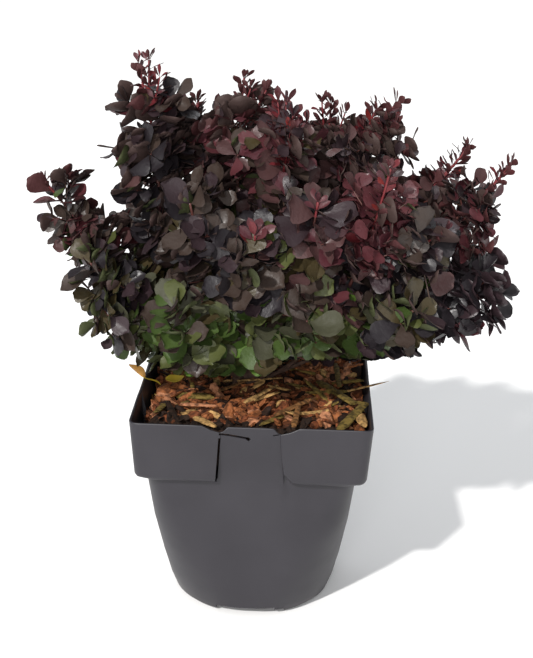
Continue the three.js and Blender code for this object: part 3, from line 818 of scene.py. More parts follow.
# centre in mm, turn, tip up, roll, length, width and colour of each; the first leans on the left rim
fallenLeaves = [
    ((-78.5, 0.5, 149.3), 185, 45, 65, 14.0, 6.6, "amberLeaf"),
    ((-69.0, 2.0, 142.0), 190, 40, 20, 13.0, 1.6, "yellowLeaf"),
    ((-55.0, 14.0, 139.6), 10, 14, 20, 12.0, 7.5, "yellowLeaf"),
    ((38.0, -8.0, 138.8), 70, 10, 0, 9.0, 6.0, "amberLeaf"),
]
fallenColours = {"amberLeaf": (0.36, 0.17, 0.02), "yellowLeaf": (0.48, 0.35, 0.03)}
fallenShape = {"steps": (8, 5), "rolled": 1.6, "wavy": 1.4, "thick": 0.35}
splinterShape = {"sides": 7, "cuts": 5, "rough": 0.25, "roughScale": 6}
# larger splinters that the photo shows, in mm; the first lies over the right side of the rim
seenSplinters = [
    # name, ends, width, thickness, colour, width of its far end as a share
    ("rim_splinter", (56, 3, 137.4), (87, -4, 149.4), 3.4, 1.3, "paleWood", 0.08),
    ("splinter_1", (41, 12, 141.5), (64, -24, 141.0), 7.4, 2.4, "oliveWood", 0.75),
    ("splinter_2", (53, 45, 142.0), (55, 4, 141.5), 4.0, 1.8, "oliveWood", 0.8),
    ("splinter_3", (14, -45, 140.0), (39, -17, 141.5), 5.0, 1.8, "umberWood", 0.6),
    ("splinter_4", (26, -60, 139.0), (29, -27, 142.0), 4.6, 1.8, "umberWood", 0.5),
    ("splinter_5", (54, -62, 139.0), (71, -26, 142.5), 7.4, 2.2, "oliveWood", 0.7),
    ("splinter_6", (-6, -26, 140.0), (14, 3, 141.5), 4.6, 1.6, "paleWood", 0.4),
    ("splinter_7", (-13, 9, 141.0), (17, 16, 141.5), 3.0, 1.4, "paleWood", 0.5),
    ("splinter_8", (-47, -31, 139.5), (-23, -34, 140.5), 5.0, 1.8, "rosyBark", 0.4),
    ("splinter_9", (66, -38, 140.5), (70, -58, 139.5), 8.0, 1.6, "paleWood", 0.2),
    ("splinter_10", (-36, -49, 138.5), (-22, -63, 138.5), 7.0, 2.0, "paleWood", 0.4),
    ("splinter_11", (-24, -8, 140.0), (-2, 16, 141.0), 3.6, 1.6, "umberWood", 0.3),
]


def addFallenLeaves():
    finishes = [makeFinish(name, colour, gloss=(160, 0.5, 0.7), relief=(500, 4), bump=0.3, depth=0.3)
                for name, colour in fallenColours.items()]
    pieces = []
    for i, (centre, turn, tip, roll, length, width, colour) in enumerate(fallenLeaves):
        deselectAll()
        stepsX, stepsY = fallenShape["steps"]
        bpy.ops.mesh.primitive_grid_add(x_subdivisions=stepsX, y_subdivisions=stepsY, size=1)
        dropped = bpy.context.object
        dropped.name = f"fallen_leaf_{i + 1}"
        points = pointsOf(dropped)
        along, aside = points[:, 0] + 0.5, points[:, 1] * 2
        half = 0.5 * width * np.sin(np.pi * np.clip(along, 0.02, 0.98) ** 0.8) ** 0.8
        rise = fallenShape["rolled"] * aside ** 2 * (half / width)
        rise += fallenShape["wavy"] * np.sin(4 * along + i)
        shaped = np.stack(((along - 0.5) * length, aside * half, rise), axis=-1)
        turned = (Matrix.Rotation(math.radians(turn), 3, "Z") @ Matrix.Rotation(math.radians(-tip), 3, "Y")
                  @ Matrix.Rotation(math.radians(roll), 3, "X"))
        putPoints(dropped, (shaped @ np.array(turned).T + centre) * mm)
        skin = dropped.modifiers.new("thickness", "SOLIDIFY")
        skin.thickness = fallenShape["thick"] * mm
        applyModifiers(dropped)
        smoothByAngle(dropped, 60)
        dropped.data.materials.append(finishes[list(fallenColours).index(colour)])
        pieces.append(dropped)
    return pieces


def addSplinter(name, start, end, width, thick, finish, farEnd):
    # a flat pointed splinter of wood that lies on the mulch
    deselectAll()
    start, end = Vector(start), Vector(end)
    length = (end - start).length
    bpy.ops.mesh.primitive_cylinder_add(vertices=splinterShape["sides"], radius=0.5, depth=1)
    splinter = bpy.context.object
    splinter.name = name
    bpy.ops.object.mode_set(mode="EDIT")
    bpy.ops.mesh.select_all(action="SELECT")
    bpy.ops.mesh.subdivide(number_cuts=splinterShape["cuts"])
    bpy.ops.object.mode_set(mode="OBJECT")
    points = pointsOf(splinter)
    far = points[:, 2] + 0.5
    slim = np.interp(far, (0, 0.08, 0.75, 1), (0.6, 1, 0.5 + 0.5 * max(farEnd, 0.6), farEnd))
    rough = np.array([noise.noise(Vector(p) * splinterShape["roughScale"]) for p in points])
    points[:, 0] *= width * slim * (1 + splinterShape["rough"] * rough)
    points[:, 1] *= thick * slim
    points[:, 2] *= length
    turned = (end - start).to_track_quat("Z", "Y").to_matrix()
    putPoints(splinter, (points @ np.array(turned).T + np.array((start + end) / 2)) * mm)
    smoothByAngle(splinter, 35)
    splinter.data.materials.append(finish)
    return splinter


def addMulch():
    names = list(mulch["colours"])
    finishes = []
    for name in names:
        colour = mulch["colours"][name]
        streak = tuple(c * mulch["streak"] for c in colour)
        finishes.append(makeFinish(name, colour, streak, mottle=(330, 5, 0.42, 0.6), gloss=(180, 0.72, 0.95),
                                   relief=(520, 5), bump=1.0, depth=1.0, specular=0.25))
    # the bed shows only in the gaps between chips; its near-black colour is painted shade there
    bed = addBed(finishes[names.index("paintedShade")])
    chips = addChips(finishes, names)
    splinters = [addSplinter(*row[:5], finishes[names.index(row[5])], row[6]) for row in seenSplinters]
    dressed = [bed, chips, *splinters, *addFallenLeaves()]
    for piece in dressed:
        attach(piece, "root")
        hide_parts("bark_mulch")
    return dressed


mulchPieces = addMulch()
print("mulch:", sum(len(p.data.polygons) for p in mulchPieces), "faces")


# the shrub grows by the part's own rule, from its crown of wood outwards

plant = {
    "crownAt": mulch["stumpAt"],
    "crownRadius": 12.0,
    "crownFootRadius": 15.0,
    "domeZ": 144.0,
    "caneRadius": 1.6,
    "caneTipRadius": 1.2,
    "gap": 0.3,
    "bend": 0.45,
    "enter": 0.2,  # share of a limb where its spray begins
    "twigRadius": 1.5,
    "twigTipRadius": 0.75,
    "flushTipRadius": 0.7,
    "cellGap": 1.3,
    "overlap": 11.0,  # fine leaves may cross into the next spray's space by half of this
    "limbGap": 0.9,
    "lowestLeaf": 147.0,
    "frontRise": 0.36,
    "frontSpan": (25.0, -5.0),  # y where the front sets in
    "leftRise": (0.62, 74.0),  # per mm beyond this far left
    "rightStep": (14.0, 0.0, 26.0),  # right of the middle the front of the underside is higher by this
    "rightRise": (0.08, 60.0),
    "lightOut": 1.0,
    "lightUp": 0.5,
    "lightAlong": 0.3,
    "golden": math.radians(137.5),
}
# where a cane leaves the crown: height on its axis and steepness in degrees
tiers = {"root": (131.5, 30), "low": (132.6, 40), "mid": (144, 46), "high": (144, 60), "steep": (144, 70),
         "crown": (144, 80)}

# tip in mm, reach of its side shoots, how many, length of its red flush, and its leaf tints
sprayFields = ("name", "tier", "tip", "reach", "sides", "flush", "tint")
sprayRows = [
    ("tall_left", "mid", (-69, -2, 352), 20, 3, 30, "dusk"),
    ("left_notch", "steep", (-42, 26, 322), 18, 3, 22, "wine"),
    ("top_left", "steep", (-12, 16, 340), 22, 4, 20, "wine"),
    ("top_centre", "high", (15, -10, 330), 22, 4, 22, "wine"),
    ("top_back_right", "high", (43, 38, 322), 22, 4, 25, "wine"),
    ("right_top", "crown", (82, 2, 329), 22, 4, 33, "wine"),
    ("front_spike", "root", (77, -60, 302), 20, 3, 58, "claret"),
    ("right_mid", "mid", (129, 14, 300), 13, 3, 38, "claret"),
    ("far_right", "low", (152, -12, 294), 18, 3, 30, "claret"),
    ("right_front", "mid", (112, -46, 262), 20, 3, 10, "dusk"),
    ("right_out", "root", (140, -24, 220), 20, 3, 0, "black"),
    ("right_low", "low", (96, -52, 214), 20, 4, 0, "bronze"),
    ("far_left", "low", (-134, -6, 276), 20, 3, 6, "rust"),
    ("left_out", "low", (-102, -34, 232), 20, 3, 0, "bronze"),
    ("left_back", "mid", (-90, 36, 242), 17, 4, 6, "dusk"),
    ("left_low", "root", (-98, -12, 200), 18, 3, 0, "olive"),
    ("front_left_low", "root", (-48, -54, 210), 20, 4, 0, "olive"),
    ("front_right_low", "root", (32, -60, 208), 20, 4, 0, "olive"),
    ("front_rose", "mid", (0, -68, 262), 22, 4, 10, "earth"),
    ("front_left", "mid", (-40, -44, 274), 22, 4, 0, "earth"),
    ("front_right", "low", (36, -56, 280), 20, 4, 5, "wine"),
    ("back_left", "root", (-80, 94, 250), 22, 4, 14, "dusk"),
    ("back_mid_left", "steep", (-30, 102, 276), 22, 4, 20, "dusk"),
    ("back_mid_right", "high", (34, 106, 266), 22, 4, 16, "wine"),
    ("back_right", "root", (92, 90, 248), 22, 4, 14, "dusk"),
    ("back_low", "mid", (2, 110, 204), 22, 4, 0, "olive"),
]
sprays = [dict(zip(sprayFields, row)) for row in sprayRows]
sprayNames = [spray["name"] for spray in sprays]


class Limb:
    # a quadratic curve through start, bend and tip

    def __init__(self, start, bend, tip):
        self.start, self.bend, self.tip = (np.asarray(p, float) for p in (start, bend, tip))
        ticks = self.point(np.linspace(0, 1, 201))
        self.length = np.linalg.norm(np.diff(ticks, axis=0), axis=1).sum()

    def point(self, t):
        t = np.asarray(t, float)[..., None]
        return (1 - t) ** 2 * self.start + 2 * t * (1 - t) * self.bend + t * t * self.tip

    def heading(self, t):
        t = np.asarray(t, float)[..., None]
        return unit(2 * (1 - t) * (self.bend - self.start) + 2 * t * (self.tip - self.bend))


def across(direction):
    # two directions across each one, at right angles
    direction = np.atleast_2d(direction)
    guide = np.where(np.abs(direction[:, 2:3]) < 0.8, (0.0, 0.0, 1.0), (1.0, 0.0, 0.0))
    u = unit(np.cross(guide, direction))
    return u, np.cross(direction, u)


def limbOf(spray):
    baseZ, steepness = tiers[spray["tier"]]
    tip = np.array(spray["tip"], float)
    crownX, crownY = plant["crownAt"]
    azimuth = math.atan2(tip[1] - crownY, tip[0] - crownX)
    rise = math.radians(steepness)
    way = np.array((math.cos(azimuth) * math.cos(rise), math.sin(azimuth) * math.cos(rise), math.sin(rise)))
    fromColumn = (plant["crownRadius"] + plant["gap"] + plant["caneRadius"] * math.sin(rise)) / math.cos(rise)
    clear = fromColumn if baseZ < plant["domeZ"] else plant["crownRadius"] + plant["gap"]
    start = np.array((crownX, crownY, baseZ)) + way * clear
    bend = start + way * np.linalg.norm(tip - start) * plant["bend"]
    return Limb(start, bend, tip)


limbs = [limbOf(spray) for spray in sprays]
# both as short chains of straight pieces
leaders = [limb.point(np.linspace(plant["enter"], 1, 7)) for limb in limbs]
canes = [limb.point(np.linspace(0, plant["enter"], 4)) for limb in limbs]


def distanceToChain(points, chain):
    # least distance from each point to a chain of straight pieces
    a, b = chain[:-1], chain[1:]
    span = b - a
    t = np.einsum("nmi,mi->nm", points[:, None] - a[None], span) / np.einsum("mi,mi->m", span, span)
    near = a[None] + np.clip(t, 0, 1)[..., None] * span[None]
    return np.linalg.norm(points[:, None] - near, axis=-1).min(axis=1)


def undersideAt(x, y):
    # the least height of leaves; the photo shows them hanging lower at the left of the front
    (leftSlope, leftFrom), (rightSlope, rightFrom) = plant["leftRise"], plant["rightRise"]
    step, stepFrom, stepTo = plant["rightStep"]
    inFront = smoothStep(*plant["frontSpan"], y)
    front = plant["frontRise"] * np.maximum(0, -y)
    left = leftSlope * np.maximum(0, -x - leftFrom)
    right = rightSlope * np.maximum(0, x - rightFrom)
    return plant["lowestLeaf"] + front + left + right + step * smoothStep(stepFrom, stepTo, x) * inFront


def staysHome(points, index, overlap=0.0):
    # points (n, k, 3): whether all k points of each lie in the spray's own space
    n, k = points.shape[:2]
    flat = points.reshape(-1, 3)
    x, y = flat[:, 0], flat[:, 1]
    good = flat[:, 2] > undersideAt(x, y)
    own = distanceToChain(flat, leaders[index]) + plant["cellGap"] - overlap
    for other, leader in enumerate(leaders):
        if other != index:
            good &= distanceToChain(flat, leader) >= own
    for cane in canes:
        good &= distanceToChain(flat, cane) > plant["caneRadius"] + plant["limbGap"]
    return good.reshape(n, k).all(axis=1)


# twigs: the leader and side shoots of the part, then finer ones between them and on them

growth = {
    "sideFirst": 0.06,
    "sideSpan": 0.72,
    "sideLean": 0.55,
    "sideLift": 0.22,
    "sideRadius": 1.1,
    "sideTaper": 0.3,  # upper side shoots are shorter by up to this share
    "sideSpread": (0.85, 0.3),  # least share of a length and what chance adds
    "tipRadius": 0.5,
    "fineSides": 9,  # finer shoots on each leader
    "fineFirst": 0.12,
    "fineSpan": 0.8,
    "fineClear": 9.0,  # below a red flush
    "fineStep": 3.0,
    "fineTaper": 0.45,
    "fineSpread": (0.7, 0.6),
    "fineRadius": 0.8,
    "spurReach": 9.0,
    "spursAt": (0.35, 0.70),
    "spurRadius": 0.55,
    "seenFrom": (0.1, 0.97),  # after a leader's start, and up to this share of it, seen shoots may part
    "seenSag": 0.12,
    "nodeStep": 7.4,
    "youngStep": 4.3,
    "thinStep": 0.85,  # nodes of thinner shoots are this much closer
    "spineLength": 4.5,
    "spineRadii": (0.32, 0.06),
    "spineDroop": 0.15,
    "spineFrom": 0.4,
    "spineClear": 1.0,
    "spireTurn": 0.34,  # how far a red spire leans from its leader
    "spireRadius": 0.95,
    "spireBow": 1.5,
    "spireLower": 0.12,  # each further one parts lower by this share of the flush
    # share of the flush that is its length, what each further one has less, and what chance takes
    "spireSpread": (0.92, 0.22, 0.12),
    "spireRound": (0.15, 0.9),  # turn of the first, in half turns, and what chance adds in radians
    "rise": 0.9,  # leaves gather round an axis drawn this far towards straight up
}
# extra red spires beside each leader's own
spireCounts = {"tall_left": 1, "top_left": 1, "top_centre": 2, "right_top": 1, "back_mid_left": 1,
               "back_mid_right": 1}
# how much larger the young leaves are, then the grown ones
richFlush = {"front_rose": 1.6, "right_top": 1.2, "top_centre": 1.2}
leafScale = {"tall_left": 1.22, "right_out": 1.38, "left_out": 1.08, "left_low": 1.05, "right_low": 1.3,
             "right_front": 1.3, "front_left_low": 1.25, "front_right_low": 1.3, "front_right": 1.25,
             "front_left": 1.22, "front_rose": 1.22, "far_left": 0.95}
# instead of the plant's overlap
freer = {"front_right": 16, "front_left": 16, "front_rose": 16, "right_front": 16, "front_right_low": 16,
         "front_left_low": 16, "right_low": 16, "right_out": 18, "tall_left": 14}
# how far grown leaves hang, and how many are green
hanging = {"right_out": 1.0, "left_out": 0.75, "far_right": 0.6, "front_left_low": 0.6,
           "front_right_low": 0.6}
greenShare = {"right_out": 0.15, "far_right": 0.4, "left_out": 0.5, "far_left": 0.4, "tall_left": 0.7}
# shoots that the photo shows, by spray: x, y and z of the end in mm, and how far below it each one parts from
# its leader
seenSides = {
    "tall_left": [(-84, -4, 296, 8), (-80, -4, 274, 8), (-53, 4, 323, 12), (-56, -6, 298, 10)],
    "left_notch": [(-48, 20, 311, 10), (-36, 12, 286, 8)],
    "top_left": [(-20, 14, 318, 12)],
    "top_back_right": [(40, 36, 303, 10)],
    "right_top": [(81, 4, 310, 14), (90, 2, 298, 14), (79, 0, 288, 12), (63, -8, 284, 14),
                  (52, 16, 294, 10)],
    "front_spike": [(57, -46, 285, 12), (87, -50, 279, 12), (74, -34, 288, 14), (62, -52, 266, 10),
                    (84, -52, 262, 10), (72, -30, 272, 8)],
    "right_mid": [(135, 8, 268, 8)],
    "far_right": [(137, -12, 262, 8), (140, -18, 244, -6), (131, -22, 238, -6)],
    "right_out": [(137, -24, 232, 8), (146, -24, 204, -10), (123, -26, 196, -14), (132, -28, 215, -4)],
    "right_front": [(105, -50, 222, -6), (88, -56, 248, 10)],
    "left_out": [(-99, -34, 211, 0), (-98, -34, 194, -10), (-90, -32, 184, -10)],
    "far_left": [(-112, -10, 234, -6), (-121, -8, 250, -4)],
}
seenSpires = {
    "tall_left": [(-75, -2, 350, 34)],
    "left_notch": [(-41, 26, 324, 26)],
    "top_left": [(2, 16, 333, 26)],
    "top_centre": [(10, -10, 330, 28), (27, -4, 316, 28), (18, -20, 315, 28)],
    "top_back_right": [(37, 30, 324, 32), (52, 34, 317, 30)],
    "right_top": [(70, 8, 324, 34)],
    "right_mid": [(128, 14, 300, 36)],
    "far_right": [(152, -12, 296, 24)],
}


def newShoot(kind, limb, radius):
    return {"limb": limb, "from": 0.0, "r0": radius, "r1": growth["tipRadius"], "kind": kind}


def sideShoot(limb, t, turn, length, radius):
    heading = limb.heading(t)
    u, v = across(heading)
    way = unit(u[0] * math.cos(turn) + v[0] * math.sin(turn) + heading * growth["sideLean"])
    start = limb.point(t)
    lift = np.array((0, 0, growth["sideLift"] * length))
    end = start + way * length + lift
    middle = start + way * length * 0.5 + lift * 0.25
    return newShoot("side", Limb(start, middle, end), radius)


def shootsOf(index):
    spray = sprays[index]
    reach, sides, flush = spray["reach"], spray["sides"], spray["flush"]
    limb = limbs[index]
    begin = plant["enter"] + plant["gap"] / limb.length
    tipRadius = plant["flushTipRadius"] if flush else plant["twigTipRadius"]
    leader = {"limb": limb, "from": begin, "r0": plant["twigRadius"], "r1": tipRadius, "kind": "leader"}
    tried = []
    for i in range(sides):
        share = growth["sideFirst"] + growth["sideSpan"] * (i + 0.5) / sides
        turn = plant["golden"] * (i + 1) + anyTurn(index, 11)
        length = reach * (1 - growth["sideTaper"] * share) * varied(growth["sideSpread"], index, 20 + i)
        tried.append(sideShoot(limb, begin + (1 - begin) * share, turn, length, growth["sideRadius"]))
    for i in range(growth["fineSides"]):
        share = growth["fineFirst"] + growth["fineSpan"] * (i + 0.5) / growth["fineSides"]
        clear = flush + growth["fineClear"] + growth["fineStep"] * (growth["fineSides"] - i)
        share = min(share, 1 - clear / limb.length)
        turn = plant["golden"] * (i + 1.5) + anyTurn(index, 12)
        length = reach * (1 - growth["fineTaper"] * share) * varied(growth["fineSpread"], index, 40 + i)
        tried.append(sideShoot(limb, begin + (1 - begin) * share, turn, length, growth["fineRadius"]))
    kept = []
    for shoot in tried:
        test = shoot["limb"].point(np.linspace(0.3, 1, 4))
        if staysHome(test[None], index)[0]:
            kept.append(shoot)
    kept += [seenShoot(limb, "side", row) for row in seenSides.get(spray["name"], ())]
    spurs = []
    for s, shoot in enumerate(kept):
        for i, t in enumerate(growth["spursAt"]):
            turn = plant["golden"] * (i + 1) + anyTurn(index + 50 * s, 13)
            length = growth["spurReach"] * varied(growth["fineSpread"], index + 50 * s, 60 + i)
            spur = sideShoot(shoot["limb"], t, turn, length, growth["spurRadius"])
            spur["kind"] = "spur"
            if staysHome(spur["limb"].point(np.linspace(0.4, 1, 3))[None], index)[0]:
                spurs.append(spur)
    seen = [seenShoot(limb, "spire", row) for row in seenSpires.get(spray["name"], ())]
    return [leader] + kept + spurs + spiresOf(index, limb) + seen


def seenShoot(limb, kind, row):
    # it parts from the leader where that passes nearest to a point below the shoot's end
    end = np.array(row[:3], float)
    first, last = growth["seenFrom"]
    ticks = np.linspace(plant["enter"] + first, last, 60)
    aim = end - (0, 0, row[3])
    start = limb.point(ticks[np.argmin(np.linalg.norm(limb.point(ticks) - aim, axis=1))])
    sag = growth["seenSag"] * np.linalg.norm(end - start) * np.sign(end[2] - start[2])
    middle = (start + end) / 2 - np.array((0, 0, sag))
    return newShoot(kind, Limb(start, middle, end), growth["spireRadius"])


def spiresOf(index, limb):
    # thin red shoots that part from the leader where its own red flush begins
    flush = sprays[index]["flush"]
    first, added = growth["spireRound"]
    longest, less, byChance = growth["spireSpread"]
    spires = []
    for i in range(spireCounts.get(sprayNames[index], 0)):
        t = 1 - flush * (1.0 - growth["spireLower"] * i) / limb.length
        heading = limb.heading(t)
        u, v = across(heading)
        turn = math.pi * (i + first) + added * float(chance(index, 31 + i))
        way = unit(heading + growth["spireTurn"] * (u[0] * math.cos(turn) + v[0] * math.sin(turn)))
        length = flush * (longest - less * i - byChance * float(chance(index, 33 + i)))
        start = limb.point(t)
        end = start + way * length
        bow = growth["spireBow"]
        middle = (start + end) / 2 + way * bow - heading * bow
        spires.append(newShoot("spire", Limb(start, middle, end), growth["spireRadius"]))
    return spires


shootTable = [shootsOf(i) for i in range(len(sprays))]
print("shoots:", sum(len(s) for s in shootTable))


# leaves: rosettes of spoon-shaped leaves at every node, narrow young ones on the red flush

leaf = {
    "seed": 900,
    "length": 20.0,
    "longest": 22.5,
    "shape": 0.77,  # width over length
    "youngShape": 0.46,
    "thick": 0.26,
    "crease": 0.27,
    "across": 4,
    "steps": 7,
    "sizes": (1.15, 1.0, 0.88, 0.76, 0.64),
    "perNode": 3,
    "youngPerNode": 3,
    "tipLeaves": 5,
    "youngTipLeaves": 4,
    "fourthFrom": 0.6,  # chance above which a node has one leaf more
    "roundTip": (0.05, 0.6),  # how far its end is rounded, from this share of its length
    "wavesAlong": 7,
    "wavesAcross": 3,
    "youngTip": 6.3,  # mm, a young leaf at the very tip
    "youngGrowth": 0.15,  # and how much longer it is for each mm below the tip
    "youngSpread": 2.2,
    "fullSize": (0.70, 1.20),  # share of the length above
    "unopened": 0.62,  # share of its full size of a leaf near a tip
    "openBy": 18.0,  # mm below the tip
    "leaderOpens": (8.0, 15.0),  # on a leader so much sooner, if its flush is shorter than the second
    "shapeSpread": (0.86, 1.12),
    "stalk": 0.8,
    "mostlyUnder": 0.85,  # share of the leaves that keep near the wanted size
    "largest": 1.2,
}
# how each leaf is bent, as least and most; drawn in this order
leafBends = {"cup": (-0.50, 0.36), "droop": (-0.10, 0.44), "twist": (-0.55, 0.55), "wave": (0.0, 0.14),
             "phase": (0, 6)}
# how leaves stand on their shoot; pitches are in degrees, what has no note is a share
stance = {
    "spin": 0.35,  # radians
    "grownBy": 26.0,  # mm below the tip
    "pitch": (42, 50, 11),  # from the shoot: at first, what it gains with age, and its spread
    "youngPitch": (24, 48, 22),  # least and most, and what it gains
    "tipPitch": (26, 13),  # of a tip's first leaf, and what each next one gains
    "youngTipPitch": (10, 12),
    "toLight": 0.32,
    "hang": 0.42,
    "waySpread": 0.07,
    "faceAlong": 0.25,
    "faceSpread": (0.15, 0.28),  # of young and grown leaves
}
# along the leaf: how far, and how wide as a share of its widest
leafRows = ((0.0, 0.06), (0.15, 0.17), (0.33, 0.55), (0.50, 0.86), (0.67, 1.0), (0.83, 0.90), (0.94, 0.62),
            (1.0, 0.26))


def leafGrid():
    # corner numbers and faces of one closed leaf: margins are shared by its two faces
    columns = leaf["across"] + 1
    rows = leaf["steps"] + 1
    upper = np.arange(rows * columns).reshape(rows, columns)
    lower = upper.copy()
    lower[1:-1, 1:-1] = rows * columns + np.arange((rows - 2) * (columns - 2)).reshape(rows - 2, columns - 2)
    faces = []
    sides = []
    for r in range(rows - 1):
        for c in range(columns - 1):
            faces.append((upper[r, c], upper[r, c + 1], upper[r + 1, c + 1], upper[r + 1, c]))
            sides.append(0)
            faces.append((lower[r, c], lower[r + 1, c], lower[r + 1, c + 1], lower[r, c + 1]))
            sides.append(1)
    inner = [(r, c) for r in range(1, rows - 1) for c in range(1, columns - 1)]
    spots = [(r, c, 1) for r in range(rows) for c in range(columns)] + [(r, c, -1) for r, c in inner]
    return np.array(faces), np.array(sides), spots


leafFaces, leafSides, leafSpots = leafGrid()


def leafPoints(buds, size, width):
    # buds hold arrays: place, way, face, cup, droop, twist, wave and phase; sizes are in mm
    far = np.array([leafRows[r][0] for r, c, f in leafSpots])
    wide = np.array([leafRows[r][1] for r, c, f in leafSpots])
    u = np.array([2 * c / leaf["across"] - 1 for r, c, f in leafSpots])
    top = np.array([f for r, c, f in leafSpots], float)
    edge = (np.abs(u) > 0.99) | (far < 0.01) | (far > 0.99)
    thick = np.where(edge, 0.0, 0.5 * leaf["thick"]) * top
    rounded, roundFrom = leaf["roundTip"]
    far = far - rounded * u * u * smoothStep(roundFrom, 1.0, far)
    l = size[:, None] * far[None]
    half = 0.5 * width[:, None] * wide[None]
    w = half * u[None]
    cup = buds["cup"][:, None] * (w ** 2) / np.maximum(width[:, None] * 0.5, 0.1)
    crease = -leaf["crease"] * half * (1 - np.abs(u[None]))
    droop = -buds["droop"][:, None] * l * far[None]
    ripple = leaf["wavesAlong"] * far[None] + leaf["wavesAcross"] * u[None] + buds["phase"][:, None]
    wave = buds["wave"][:, None] * half * np.sin(ripple) * np.abs(u)
    h = cup + crease + droop + wave + thick[None]
    turn = buds["twist"][:, None] * far[None]
    w, h = w * np.cos(turn) - h * np.sin(turn), w * np.sin(turn) + h * np.cos(turn)
    side = np.cross(buds["way"], buds["face"])
    return (buds["place"][:, None] + l[..., None] * buds["way"][:, None]
            + w[..., None] * side[:, None] + h[..., None] * buds["face"][:, None])


# corners of a leaf that have to stay in its spray's space
testSpots = [i for i, (r, c, f) in enumerate(leafSpots) if f > 0 and (r, c) in
             ((3, 0), (3, 4), (4, 0), (4, 4), (5, 0), (5, 4), (7, 2), (4, 2), (2, 0), (2, 4))]


# how much of a shoot bears leaves, from its tip
leafedShare = {"leader": 0.97, "side": 0.85, "spur": 0.5, "spire": 0.93}
firstNode = 0.6  # mm below the tip


def nodesOf(index):
    # nodes along every shoot from its tip inwards, as a dictionary of arrays
    flush = sprays[index]["flush"]
    rows = []
    for s, shoot in enumerate(shootTable[index]):
        limb, begin, kind = shoot["limb"], shoot["from"], shoot["kind"]
        length = limb.length * (1 - begin)
        below = firstNode
        i = 0
        while below < length * leafedShare[kind]:
            young = kind == "spire" or (kind == "leader" and below < flush)
            t = 1 - (1 - begin) * below / length
            turn = plant["golden"] * (i + 3 * s) + anyTurn(index, s)
            rows.append((*limb.point(t), *limb.heading(t), turn, below, young, i, kind == "leader"))
            grownStep = growth["nodeStep"] * (1.0 if kind == "leader" else growth["thinStep"])
            step = growth["youngStep"] if young else grownStep
            below += step * varied(growth["sideSpread"], index + 7 * s, i + 80)
            i += 1
    rows = np.array(rows, float)
    return {"place": rows[:, 0:3], "heading": rows[:, 3:6], "turn": rows[:, 6], "below": rows[:, 7],
            "young": rows[:, 8] > 0.5, "rank": rows[:, 9], "leader": rows[:, 10] > 0.5}


